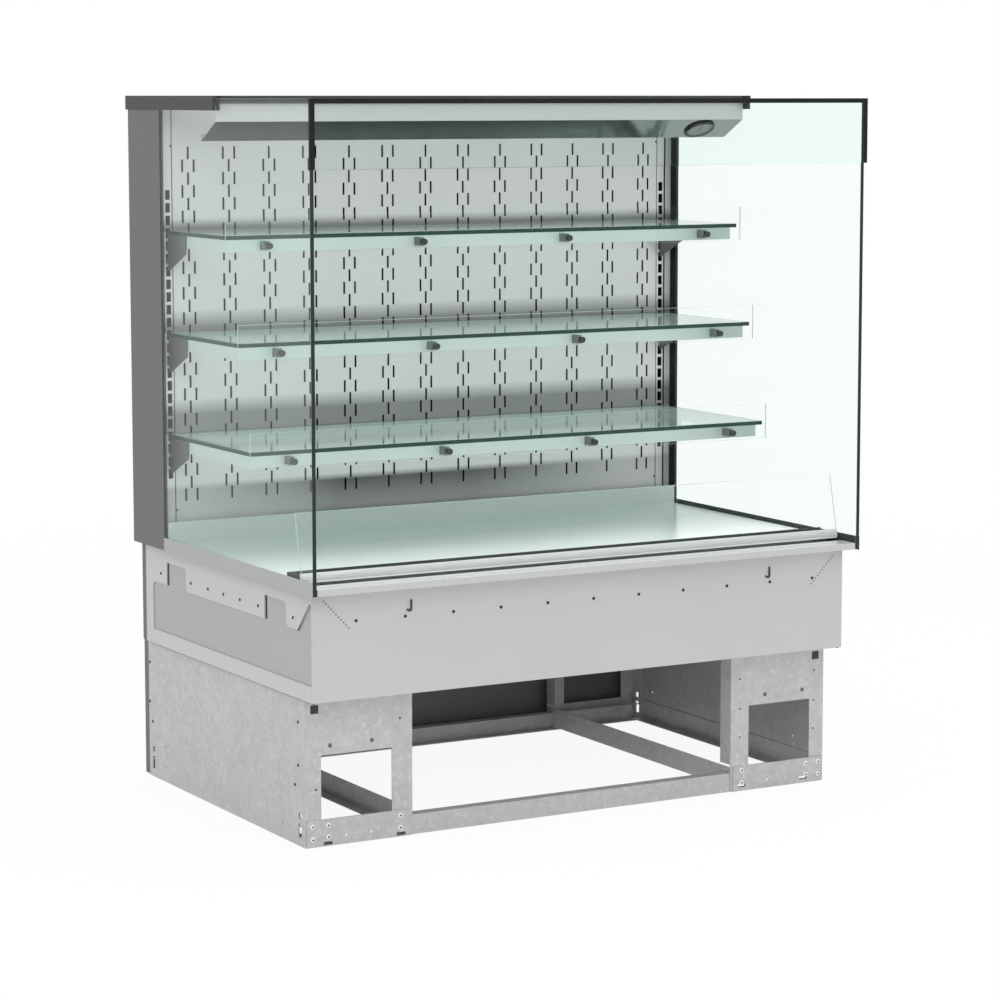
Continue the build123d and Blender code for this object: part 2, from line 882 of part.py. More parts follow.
def make_lamp():
    """Lamp under the cap, hidden behind the canopy."""
    middle = at(lamp_setback)
    side = lamp_width / 2
    lower = side - lamp_chamfer
    nose = lamp_nose / 2
    corners = [
        (-side, 0), (-lower, -lamp_shoulder), (-nose, -lamp_height),
        (nose, -lamp_height), (lower, -lamp_shoulder), (side, 0),
    ]
    plane = Plane(origin=(-lamp_length / 2, middle, cap_under), x_dir=(0, 1, 0), z_dir=(1, 0, 0))
    with BuildPart() as lamp:
        extrude(outline(plane, corners), amount=lamp_length)
    return lamp.part


def make_top_glass():
    """Top glass between the cap and the visor."""
    inner = half - glass_thickness - seat_gap
    with BuildPart() as glass:
        block(-inner, inner, at(0), at(cap_front) - seat_gap, glass_top - glass_thickness, glass_top)
        notch = inner - end_piece_width + glass_thickness
        notch_front = at(cap_front) - 2 * seat_gap - end_piece_depth
        for x0, x1 in ((-inner - 1, -notch), (notch, inner + 1)):
            block(x0, x1, notch_front, at(cap_front) + 1, visor_bottom, cap_top, Mode.SUBTRACT)
    return glass.part


def make_visor():
    """Visor glass across the top of the open front."""
    outer = half + visor_overlap
    with BuildPart() as visor:
        block(-outer, outer, at(-glass_thickness), at(0), visor_bottom, glass_top)
    return visor.part


def make_thermometer():
    """Dial thermometer: body with its bezel and dial, lens, and the pointer on its shaft."""
    plane = dial_plane()
    inside = dial_bezel_radius - bezel_lip
    lens_back = bezel_height - dial_lens_thickness
    case_profile = [
        (0, -dial_body_depth), (dial_body_radius, -dial_body_depth), (dial_body_radius, 0),
        (dial_bezel_radius, 0), (dial_bezel_radius, bezel_height),
        (inside, bezel_height), (inside, dial_face), (0, dial_face),
    ]
    with BuildPart() as case:
        with BuildSketch(Plane.XZ):
            with BuildLine():
                Polyline(*case_profile, close=True)
            make_face()
        revolve(axis=Axis.Z)
        with Locations((0, 0, dial_face)):
            Hole(pointer_shaft_radius + shaft_clearance, depth=pointer_shaft_length)
    with BuildPart() as lens:
        with BuildSketch(Plane.XY.offset(lens_back)):
            RegularPolygon(inside - lens_fit, 32)
        extrude(amount=dial_lens_thickness)
    tail = pointer_tail_width / 2
    tip = pointer_tip_width / 2
    with BuildPart() as pointer:
        with BuildSketch(Plane.XY.offset(pointer_back)):
            with BuildLine():
                Polyline((-tail, -pointer_tail), (tail, -pointer_tail), (tip, pointer_length),
                         (-tip, pointer_length), close=True)
            make_face()
            RegularPolygon(pointer_boss, 12)
        extrude(amount=pointer_thickness)
        with BuildSketch(Plane.XY.offset(pointer_back)):
            Circle(pointer_shaft_radius)
        extrude(amount=-pointer_shaft_length)
    save(plane.from_local_coords(case.part), "thermometer_case")
    save(plane.from_local_coords(lens.part), "thermometer_lens")
    save(plane.from_local_coords(pointer.part), "thermometer_pointer")


def make_top():
    save(make_cap(), "top_cap")
    save(left_and_right(make_end_piece()), "cap_end_pieces")
    save(make_canopy(), "canopy")
    save(make_lamp(), "canopy_lamp")
    save(make_top_glass(), "top_glass")
    save(make_visor(), "visor_glass")
    make_thermometer()


# Shelves: glass plate, frame, hooked brackets, clear guard and its standoffs

def make_shelf_plate(front, top):
    """Glass plate of one shelf."""
    edge = half - plate_side_gap
    with BuildPart() as plate:
        block(-edge, edge, front, at(wall_setback) - plate_wall_gap, top - plate_thickness, top)
    return plate.part


def make_shelf_frame(front, top):
    """Open frame under the plate, with a ledge round the top that carries the glass."""
    outer = half - frame_side_gap
    face = front + frame_setback
    back = at(wall_setback) - plate_wall_gap
    under = top - plate_thickness
    with BuildPart() as frame:
        block(-outer, outer, face, back, under - frame_height, under)
        block(-outer + sheet, outer - sheet, face + sheet, back - sheet,
              under - frame_height - 1, under - sheet, Mode.SUBTRACT)
        block(-outer + frame_ledge, outer - frame_ledge, face + frame_ledge, back - frame_ledge,
              under - frame_height, under + 1, Mode.SUBTRACT)
    return frame.part


def make_shelf_bracket(top, hook_seat):
    """Left bracket: a tapered plate with two hooks that pass through slots of the standard."""
    face = at(wall_setback) - seat_gap
    under = top - plate_thickness - seat_gap
    front = face - bracket_length
    bottom = under - bracket_height
    behind = at(wall_setback) + heavy_sheet + seat_gap
    tip = behind + hook_reach
    outer = half - frame_side_gap
    plane = Plane(origin=(-outer - bracket_thickness, 0, 0), x_dir=(0, 1, 0), z_dir=(1, 0, 0))
    corners = [
        (front, under), (front, under - bracket_nose), (face - bracket_heel, bottom),
        (face, bottom), (face, under),
    ]
    with BuildPart() as bracket:
        extrude(outline(plane, corners), amount=bracket_thickness)
        for seat in (hook_seat, hook_seat - slot_pitch):
            hook = [
                (face, seat + seat_gap), (behind, seat + seat_gap), (behind, seat - hook_drop),
                (tip, seat - hook_drop), (tip, seat + hook_height), (face, seat + hook_height),
            ]
            extrude(outline(plane, hook), amount=bracket_thickness)
    return bracket.part


def standoff_places():
    """Middles of the standoffs along a shelf."""
    first = -(standoff_count - 1) / 2 * standoff_pitch
    return [first + index * standoff_pitch for index in range(standoff_count)]


def make_shelf_guard(front, top):
    """Clear guard in front of one shelf, with a square hole for the neck of each knob."""
    edge = half - shelf_guard_side_gap
    back = front - shelf_guard_ahead
    upper = top + shelf_guard_above
    with BuildPart() as guard:
        with BuildSketch(Plane.XZ.offset(-back)):
            with Locations((0, upper - shelf_guard_height / 2)):
                Rectangle(2 * edge, shelf_guard_height)
            with Locations(*[(x, top - standoff_drop) for x in standoff_places()]):
                Rectangle(neck_size + neck_clearance, neck_size + neck_clearance, mode=Mode.SUBTRACT)
        extrude(amount=guard_thickness)
    return guard.part


def make_standoffs(front, top):
    """Spacer blocks behind the guard, and knobs whose square necks reach through it."""
    face = front + frame_setback
    guard_back = front - shelf_guard_ahead
    knob_back = guard_back - guard_thickness
    height = top - standoff_drop
    pieces = []
    for x in standoff_places():
        with BuildPart() as spacer:
            block(x - spacer_width / 2, x + spacer_width / 2, guard_back, face,
                  height - spacer_height / 2, height + spacer_height / 2)
        with BuildPart() as knob:
            with BuildSketch(Plane.XZ.offset(-knob_back)):
                with Locations((x, height)):
                    RegularPolygon(knob_radius, 12)
            extrude(amount=knob_length)
            with BuildSketch(Plane.XZ.offset(-knob_back)):
                with Locations((x, height)):
                    Rectangle(neck_size, neck_size)
            extrude(amount=-guard_thickness)
        pieces.append(spacer.part)
        pieces.append(knob.part)
    return Compound(children=pieces)


def make_shelf(number):
    """All the pieces of one shelf, numbered from the top."""
    top = shelf_top_height - (number - 1) * shelf_pitch
    front = at(shelf_front_top - (number - 1) * shelf_step)
    slot = hook_slot_index - (number - 1) * shelf_slots_apart
    hook_seat = standard_slot_start + slot * slot_pitch
    name = "shelf_" + str(number)
    save(make_shelf_plate(front, top), name + "_plate")
    save(make_shelf_frame(front, top), name + "_frame")
    save(left_and_right(make_shelf_bracket(top, hook_seat)), name + "_brackets")
    save(make_shelf_guard(front, top), name + "_guard")
    save(make_standoffs(front, top), name + "_standoffs")


# Warm air works under the deck: plate, motors, fans, heater and terminal box

def make_fan_plate():
    """Plate across the tub with a round opening for each fan."""
    inner = tub_inner - board
    bottom = base_height + board
    top = deck_top - sheet - seat_gap
    front = at(fan_plate_setback)
    with BuildPart() as plate:
        with BuildSketch(Plane.XZ.offset(-front)):
            with Locations((0, (bottom + top) / 2)):
                Rectangle(2 * inner, top - bottom)
            with Locations((-fan_x, fan_height), (fan_x, fan_height)):
                RegularPolygon(fan_bore_radius, 24, major_radius=False, mode=Mode.SUBTRACT)
        extrude(amount=-sheet)
    return plate.part


def make_motor(x):
    """Fan motor on a three-armed spider behind the plate, with its shaft forward."""
    plate_back = at(fan_plate_setback) + sheet
    front = plate_back + motor_stand
    shaft_front = at(fan_plate_setback) - fan_axle_reach
    with BuildPart() as motor:
        with BuildSketch(Plane.XZ.offset(-front)):
            with Locations((x, fan_height)):
                RegularPolygon(motor_radius, 8)
        extrude(amount=-motor_length)
        with BuildSketch(Plane.XZ.offset(-front)):
            with Locations((x, fan_height)):
                with PolarLocations(0, motor_arms, start_angle=90):
                    Rectangle(motor_arm_reach, motor_arm_width, align=(Align.MIN, Align.CENTER))
        extrude(amount=-motor_arm_sheet)
        with BuildSketch(Plane.XZ.offset(-plate_back)):
            with Locations((x, fan_height)):
                with PolarLocations(motor_arm_reach - motor_foot / 2, motor_arms, start_angle=90):
                    Rectangle(motor_foot, motor_arm_width)
        extrude(amount=-motor_stand)
        with BuildSketch(Plane.XZ.offset(-shaft_front)):
            with Locations((x, fan_height)):
                Circle(fan_axle_radius)
        extrude(amount=-(front - shaft_front))
    return motor.part


def make_fan(x):
    """Fan wheel: a hub bored for the shaft and pitched blades."""
    back = at(fan_plate_setback) + fan_back
    with BuildPart() as fan:
        with BuildSketch(Plane.XZ.offset(-back)):
            with Locations((x, fan_height)):
                RegularPolygon(fan_hub_radius, 3 * fan_blades)
        extrude(amount=fan_hub_depth)
        middle = Plane(origin=(x, back - fan_hub_depth / 2, fan_height), z_dir=(0, -1, 0))
        with Locations(middle):
            with PolarLocations(0, fan_blades):
                with Locations(Location((fan_hub_radius - fan_blade_root, 0, 0), (fan_blade_pitch, 0, 0))):
                    Box(fan_radius - fan_hub_radius, fan_blade_width, fan_blade_sheet,
                        align=(Align.MIN, Align.CENTER, Align.CENTER))
        with BuildSketch(Plane.XZ.offset(-back)):
            with Locations((x, fan_height)):
                Circle(fan_axle_radius + shaft_clearance)
        extrude(amount=fan_hub_depth - hub_wall, mode=Mode.SUBTRACT)
    return fan.part


def make_heater():
    """Two banks of straight heating tubes behind the fans, each between a pair of end brackets."""
    pieces = []
    floor_top = base_height + board
    for row in range(heater_rows):
        middle = at(heater_setback) + row * heater_row_pitch
        heights = [heater_height + tube * heater_tube_pitch for tube in range(heater_tubes)]
        bracket_top = heights[-1] + 2 * heater_tube_radius
        for height in heights:
            with BuildPart() as tube:
                with BuildSketch(Plane.YZ.offset(-heater_half_length)):
                    with Locations((middle, height)):
                        RegularPolygon(heater_tube_radius, 8)
                extrude(amount=2 * heater_half_length)
            pieces.append(tube.part)
        for side in (-1, 1):
            inner = side * heater_half_length
            outer = inner + side * sheet
            x0, x1 = sorted((inner, outer))
            foot = inner + side * heater_foot
            f0, f1 = sorted((inner, foot))
            with BuildPart() as bracket:
                block(x0, x1, middle - heater_foot / 2, middle + heater_foot / 2, floor_top, bracket_top)
                block(f0, f1, middle - heater_foot / 2, middle + heater_foot / 2,
                      floor_top, floor_top + sheet)
            pieces.append(bracket.part)
    return Compound(children=pieces)


def make_terminal_box():
    """Terminal box on the tub floor and the cable gland that leads out of the back."""
    length, depth, height = terminal_box_size
    floor_top = base_height + board
    back = tub_back - board
    x, rear, gland_height = gland_place()
    with BuildPart() as box:
        block(x - length / 2, x + length / 2, back - depth, back, floor_top, floor_top + height)
    with BuildPart() as gland:
        with BuildSketch(Plane.XZ.offset(-back)):
            with Locations((x, gland_height)):
                RegularPolygon(gland_radius, 6)
        extrude(amount=back - rear)
        with BuildSketch(Plane.XZ.offset(-rear)):
            with Locations((x, gland_height)):
                RegularPolygon(gland_nut_radius, 6)
        extrude(amount=-gland_nut)
        with BuildSketch(Plane.XZ.offset(-rear - gland_nut)):
            with Locations((x, gland_height)):
                RegularPolygon(gland_bore_radius, 6)
        extrude(amount=gland_nut + 1, mode=Mode.SUBTRACT)
    return Compound(children=[box.part, gland.part])


def make_air_works():
    save(make_fan_plate(), "fan_plate")
    motors = [make_motor(x) for x in (-fan_x, fan_x)]
    save(Compound(children=motors), "fan_motors")
    save(make_fan(-fan_x), "fan_left")
    save(make_fan(fan_x), "fan_right")
    save(make_heater(), "heater_elements")
    save(make_terminal_box(), "terminal_box")


make_base()
make_tub()
make_deck()
make_upper_box()
make_top()
for shelf_number in range(1, shelf_count + 1):
    make_shelf(shelf_number)
make_air_works()
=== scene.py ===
import json
import math

import bmesh
import bpy
from mathutils import Matrix, Vector


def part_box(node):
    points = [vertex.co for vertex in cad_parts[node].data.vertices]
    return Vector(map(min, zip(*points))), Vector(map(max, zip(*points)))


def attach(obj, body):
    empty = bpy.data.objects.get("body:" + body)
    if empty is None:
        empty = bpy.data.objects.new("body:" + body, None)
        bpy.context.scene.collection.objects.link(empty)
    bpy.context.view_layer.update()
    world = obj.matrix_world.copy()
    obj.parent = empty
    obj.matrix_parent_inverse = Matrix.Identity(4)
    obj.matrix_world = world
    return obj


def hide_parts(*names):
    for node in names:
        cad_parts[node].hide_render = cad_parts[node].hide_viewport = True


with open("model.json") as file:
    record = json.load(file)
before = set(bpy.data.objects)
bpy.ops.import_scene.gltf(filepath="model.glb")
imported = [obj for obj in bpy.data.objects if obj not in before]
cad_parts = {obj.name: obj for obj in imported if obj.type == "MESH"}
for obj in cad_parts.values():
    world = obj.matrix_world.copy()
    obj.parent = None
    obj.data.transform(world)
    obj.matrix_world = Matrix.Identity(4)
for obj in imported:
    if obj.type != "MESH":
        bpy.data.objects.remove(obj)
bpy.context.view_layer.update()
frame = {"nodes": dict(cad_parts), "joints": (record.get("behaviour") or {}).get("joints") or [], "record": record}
nodes = frame["nodes"]
bodies = frame["record"]["behaviour"]["bodies"]
body_of = {node: body for body, members in bodies.items() for node in members}
slot_of = {part["node"]: part["material_slot"] for part in frame["record"]["subparts"]}

MM = 0.001
LEFT = Vector((-1, 0, 0))
RIGHT = Vector((1, 0, 0))
FRONT = Vector((0, -1, 0))
BACK = Vector((0, 1, 0))
UP = Vector((0, 0, 1))


# Places

def low(node):
    """Lowest corner of a CAD node's box, in metres."""
    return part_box(node)[0]


def high(node):
    """Highest corner of a CAD node's box, in metres."""
    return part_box(node)[1]


GLASS_LEFT = low("end_glass_left").x
GLASS_FRONT = low("end_glass_left").y
HALF_WIDTH = -GLASS_LEFT
SIDES = (("left", -1, LEFT), ("right", 1, RIGHT))
SHELVES = (1, 2, 3)
pointer_joint = next(joint for joint in frame["joints"] if joint["name"] == "thermometer_turn")
DIAL_MIDDLE = Vector(pointer_joint["pos_m"])
DIAL_FACING = Vector(pointer_joint["axis"])


def spot(x, setback, z):
    """A place from mm right of the middle, mm behind the glass front and mm above the floor."""
    return Vector((x * MM, GLASS_FRONT + setback * MM, z * MM))


def setback_of(y):
    """How many mm a place lies behind the glass front."""
    return (y - GLASS_FRONT) / MM


def from_left(x):
    """Distance in mm right of the middle, from a distance in mm right of the left end glass."""
    return GLASS_LEFT / MM + x


# Shader helpers

def new_material(name):
    """A material with one Principled shader, and the tree to build on."""
    material = bpy.data.materials.new(name)
    material.use_nodes = True
    tree = material.node_tree
    return material, tree, tree.nodes["Principled BSDF"]


def add(tree, kind, **settings):
    """One node with its properties set."""
    node = tree.nodes.new(kind)
    for key, value in settings.items():
        setattr(node, key, value)
    return node


def place(tree, stretch=(1, 1, 1)):
    """Object coordinates, stretched, as the place on a piece."""
    coordinates = add(tree, "ShaderNodeTexCoord")
    mapping = add(tree, "ShaderNodeMapping")
    mapping.inputs["Scale"].default_value = stretch
    tree.links.new(coordinates.outputs["Object"], mapping.inputs["Vector"])
    return mapping.outputs["Vector"]


def noise(tree, vector, scale, detail=3, roughness=0.5):
    """Noise of one value."""
    node = add(tree, "ShaderNodeTexNoise")
    node.inputs["Scale"].default_value = scale
    node.inputs["Detail"].default_value = detail
    node.inputs["Roughness"].default_value = roughness
    tree.links.new(vector, node.inputs["Vector"])
    return node.outputs["Fac"]


def calculate(tree, operation, *values):
    """One step of arithmetic on sockets and numbers."""
    node = add(tree, "ShaderNodeMath", operation=operation)
    for socket, value in zip(node.inputs, values):
        if isinstance(value, (int, float)):
            socket.default_value = value
        else:
            tree.links.new(value, socket)
    return node.outputs["Value"]


def spread(tree, value, low_out, high_out, low_in=0.3, high_in=0.7):
    """The value moved from one range to another."""
    node = add(tree, "ShaderNodeMapRange")
    node.inputs["From Min"].default_value = low_in
    node.inputs["From Max"].default_value = high_in
    node.inputs["To Min"].default_value = low_out
    node.inputs["To Max"].default_value = high_out
    tree.links.new(value, node.inputs["Value"])
    return node.outputs["Result"]


def blend_colours(tree, factor, first, second):
    """Two colours, or sockets of colours, mixed by a value."""
    node = add(tree, "ShaderNodeMix", data_type="RGBA")
    for key, colour in (("A", first), ("B", second)):
        if isinstance(colour, tuple):
            node.inputs[key].default_value = (*colour, 1)
        else:
            tree.links.new(colour, node.inputs[key])
    tree.links.new(factor, node.inputs["Factor"])
    return node.outputs["Result"]


def mix_shaders(tree, factor, first, second, surface):
    """Two shaders mixed by a value, into the surface."""
    mix = add(tree, "ShaderNodeMixShader")
    tree.links.new(factor, mix.inputs["Fac"])
    tree.links.new(first, mix.inputs[1])
    tree.links.new(second, mix.inputs[2])
    tree.links.new(mix.outputs["Shader"], surface)


def seen_through_glass(tree, path):
    """One for a ray that the camera sends out, straight or through glass."""
    return calculate(tree, "MAXIMUM", path.outputs["Is Camera Ray"],
                     path.outputs["Is Transmission Ray"])


def bump(tree, shader, height, distance, strength):
    """A bump from the height, into the shader's normal."""
    node = add(tree, "ShaderNodeBump")
    node.inputs["Distance"].default_value = distance
    node.inputs["Strength"].default_value = strength
    tree.links.new(height, node.inputs["Height"])
    tree.links.new(node.outputs["Normal"], shader.inputs["Normal"])


# Materials

GRAIN_ACROSS = (4, 900, 900)        # fine grain that runs across the case
GRAIN_UPRIGHT = (900, 900, 4)
SPANGLES = 110                      # crystals of the zinc in a metre
SPANGLE_WARP = 0.009                # metres by which their edges wander
GLASS_EDGE = (0.034, 0.045, 0.041)
PRINTED_BLACK = (0.02, 0.021, 0.021)


def galvanised_steel(name, dull, bright):
    """Zinc-coated sheet: small spangles of nearly one grey, with a few brighter flakes."""
    material, tree, shader = new_material(name)
    here = place(tree)
    warp = add(tree, "ShaderNodeTexNoise")
    warp.inputs["Scale"].default_value = 120
    warp.inputs["Detail"].default_value = 2
    tree.links.new(here, warp.inputs["Vector"])
    nudge = add(tree, "ShaderNodeVectorMath", operation="MULTIPLY_ADD")
    nudge.inputs[1].default_value = (SPANGLE_WARP,) * 3
    tree.links.new(warp.outputs["Color"], nudge.inputs[0])
    tree.links.new(here, nudge.inputs[2])
    cells = add(tree, "ShaderNodeTexVoronoi", feature="F1")
    cells.inputs["Scale"].default_value = SPANGLES
    tree.links.new(nudge.outputs["Vector"], cells.inputs["Vector"])
    split = add(tree, "ShaderNodeSeparateColor")
    tree.links.new(cells.outputs["Color"], split.inputs["Color"])
    patches = noise(tree, here, 14, 5, 0.65)
    mixed = calculate(tree, "MULTIPLY_ADD", split.outputs["Red"], 0.35, patches)
    flakes = spread(tree, noise(tree, nudge.outputs["Vector"], 90, 4, 0.7), 0, 0.6, 0.56, 0.64)
    tone = calculate(tree, "ADD", spread(tree, mixed, 0, 0.75, 0.35, 1.0), flakes)
    tree.links.new(blend_colours(tree, tone, dull, bright), shader.inputs["Base Color"])
    sheen = spread(tree, split.outputs["Green"], 0.38, 0.5, 0, 1)
    tree.links.new(sheen, shader.inputs["Roughness"])
    shader.inputs["Metallic"].default_value = 0.3
    bump(tree, shader, split.outputs["Blue"], 0.00005, 0.4)
    return material


def sheet_metal(name, first, second, metallic, roughness, grain=GRAIN_ACROSS, shade=None,
                coat=0.0, gloss=0.5):
    """Smooth sheet with a fine grain, slight cloudiness and a soft change of sheen.

    `shade` paints light and shade onto the colour: a function that says from the place how far the colour goes
    over to another one, and that other colour. `coat` is how thick a clear lacquer it has, `gloss` how much it
    mirrors."""
    material, tree, shader = new_material(name)
    here = place(tree)
    fine = noise(tree, place(tree, grain), 1.0, 2, 0.6)
    clouds = noise(tree, here, 3.2, 3, 0.55)
    mixed = calculate(tree, "MULTIPLY_ADD", fine, 0.35, clouds)
    tone = spread(tree, mixed, 0, 1, 0.2, 1.15)
    colour = blend_colours(tree, tone, first, second)
    if shade:
        sides = add(tree, "ShaderNodeSeparateXYZ")
        tree.links.new(here, sides.inputs["Vector"])
        how_far, other = shade
        colour = blend_colours(tree, how_far(tree, sides.outputs), colour, other)
    tree.links.new(colour, shader.inputs["Base Color"])
    sheen = spread(tree, clouds, roughness - 0.05, roughness + 0.06, 0, 1)
    tree.links.new(sheen, shader.inputs["Roughness"])
    shader.inputs["Specular IOR Level"].default_value = gloss
    shader.inputs["Coat Weight"].default_value = coat
    shader.inputs["Coat Roughness"].default_value = 0.08
    shader.inputs["Metallic"].default_value = metallic
    bump(tree, shader, fine, 0.00002, 0.35)
    return material


def moulded(name, colour, roughness):
    """Moulded plastic or rubber, with a fine grained surface."""
    material, tree, shader = new_material(name)
    here = place(tree)
    grain = noise(tree, here, 1400, 2, 0.6)
    clouds = noise(tree, here, 25, 3, 0.5)
    lighter = tuple(channel * 1.6 + 0.003 for channel in colour)
    tree.links.new(blend_colours(tree, clouds, colour, lighter), shader.inputs["Base Color"])
    sheen = spread(tree, clouds, roughness - 0.05, roughness + 0.07)
    tree.links.new(sheen, shader.inputs["Roughness"])
    bump(tree, shader, grain, 0.00003, 0.5)
    return material


def pane(name, tint, edge, across, clear=1.0, clear_edge=0.3, bend=1.2, border=None):
    """Clear pane: its broad faces are nearly clear, its edges show the deep colour of the glass.

    The broad faces look along `across`. Lamps shine through the pane. `bend` is its index of
    refraction, low for a coated pane that hardly mirrors. A border, given as the half width and
    the height that stay clear, is printed in black along the sides and the top."""
    material, tree, shader = new_material(name)
    coordinates = add(tree, "ShaderNodeTexCoord")
    along = add(tree, "ShaderNodeVectorMath", operation="DOT_PRODUCT")
    along.inputs[1].default_value = across
    tree.links.new(coordinates.outputs["Normal"], along.inputs[0])
    flat = calculate(tree, "ABSOLUTE", along.outputs["Value"])
    on_face = spread(tree, flat, 0, 1, 0.75, 0.97)
    smears = noise(tree, place(tree, (2, 2, 6)), 1.6, 3, 0.6)
    hue = blend_colours(tree, smears, tint, tuple(channel ** 1.15 for channel in tint))
    colour = blend_colours(tree, on_face, edge, hue)
    see_through = spread(tree, on_face, clear_edge, clear, 0, 1)
    if border:
        clear_half_width, clear_height = border
        sides = add(tree, "ShaderNodeSeparateXYZ")
        tree.links.new(coordinates.outputs["Object"], sides.inputs["Vector"])
        from_middle = calculate(tree, "ABSOLUTE", sides.outputs["X"])
        beside = calculate(tree, "GREATER_THAN", from_middle, clear_half_width)
        above = calculate(tree, "GREATER_THAN", sides.outputs["Z"], clear_height)
        printed = calculate(tree, "MAXIMUM", beside, above)
        colour = blend_colours(tree, printed, colour, PRINTED_BLACK)
        unprinted = calculate(tree, "SUBTRACT", 1, printed)
        see_through = calculate(tree, "MULTIPLY", see_through, unprinted)
    tree.links.new(colour, shader.inputs["Base Color"])
    tree.links.new(see_through, shader.inputs["Transmission Weight"])
    shader.inputs["Roughness"].default_value = 0.0
    shader.inputs["IOR"].default_value = bend
    path = add(tree, "ShaderNodeLightPath")
    lit = calculate(tree, "MAXIMUM", path.outputs["Is Shadow Ray"], path.outputs["Is Diffuse Ray"])
    through = add(tree, "ShaderNodeBsdfTransparent")
    through.inputs["Color"].default_value = (*[0.5 + channel / 2 for channel in tint], 1)
    surface = tree.nodes["Material Output"].inputs["Surface"]
    mix_shaders(tree, lit, shader.outputs["BSDF"], through.outputs["BSDF"], surface)
    return material


def lamp_cover():
    """Opal lamp cover that glows a little."""
    material, tree, shader = new_material("lamp_cover")
    clouds = noise(tree, place(tree, (40, 4, 4)), 2, 2, 0.5)
    colour = blend_colours(tree, clouds, (0.86, 0.88, 0.86), (0.95, 0.96, 0.95))
    tree.links.new(colour, shader.inputs["Base Color"])
    shader.inputs["Roughness"].default_value = 0.35
    shader.inputs["Emission Color"].default_value = (0.95, 1.0, 0.97, 1)
    shader.inputs["Emission Strength"].default_value = 3.0
    return material


# Painted shade on the wall, in bands above the shelves: the shelf, how dark the band is, and how far over the
# top of the shelf's plate it starts to fade and has faded, in metres
WALL_SHADE_BANDS = ((1, 0.85, 0.005, 0.024), (2, 0.82, 0.008, 0.044), (3, 0.76, 0.036, 0.068))
BAND_START = 0.006                  # a band begins this far under the top of the plate
# The foot of the wall, under the lowest shelf, carries painted shade as well
FOOT_RISE = (0.545, 0.600)          # heights between which the painted shade at the foot of the wall grows
FOOT_FADE = (0.603, 0.616)          # heights between which that painted shade fades out again
FOOT_AT_DECK = 0.6
FOOT_FROM_LEFT = (-0.52, -0.2)      # places between which the painted shade at the foot fades in from the left
FOOT_TO_RIGHT = (0.12, 0.46)
FOOT_AT_ENDS = 0.4


def wall_shade(tree, sides):
    """Painted shade on the wall: a band above each shelf, and under the lowest shelf down to the deck."""
    height = sides["Z"]
    bands = []
    for number, depth, full, reach in WALL_SHADE_BANDS:
        top = high("shelf_%d_plate" % number).z
        fading = spread(tree, height, depth, 0, top + full, top + reach)
        begun = spread(tree, height, 0, 1, top - BAND_START, top)
        bands.append(calculate(tree, "MULTIPLY", fading, begun))
    rising = spread(tree, height, FOOT_AT_DECK, 1, *FOOT_RISE)
    foot = calculate(tree, "MULTIPLY", rising, spread(tree, height, 1, 0, *FOOT_FADE))
    from_left_end = spread(tree, sides["X"], FOOT_AT_ENDS, 1, *FOOT_FROM_LEFT)
    to_right_end = spread(tree, sides["X"], 1, FOOT_AT_ENDS, *FOOT_TO_RIGHT)
    beside = calculate(tree, "MULTIPLY", from_left_end, to_right_end)
    # the painted shade: the foot, then the darkest band over it
    dull = calculate(tree, "MULTIPLY", foot, beside)
    for band in bands:
        dull = calculate(tree, "MAXIMUM", dull, band)
    return dull


def fade_along(side, start, end):
    """Painted shade, or for the canopy's slope a painted reflection, that grows from none to full between two
    places along X or Y, in metres.
    """
    def shade(tree, sides):
        return spread(tree, sides[side], 0, 1, start, end)
    return shade


deck_shade = fade_along("Y", -0.20, 0.06)   # painted shade: the deck is darker towards the wall
frame_shade = fade_along("X", 0.38, 0.54)   # painted shade: a shelf's frame is darker towards its right end
slope_painted_reflection = fade_along("X", 0.0, 0.42)    # painted reflection: the canopy's slope is brighter towards its right end
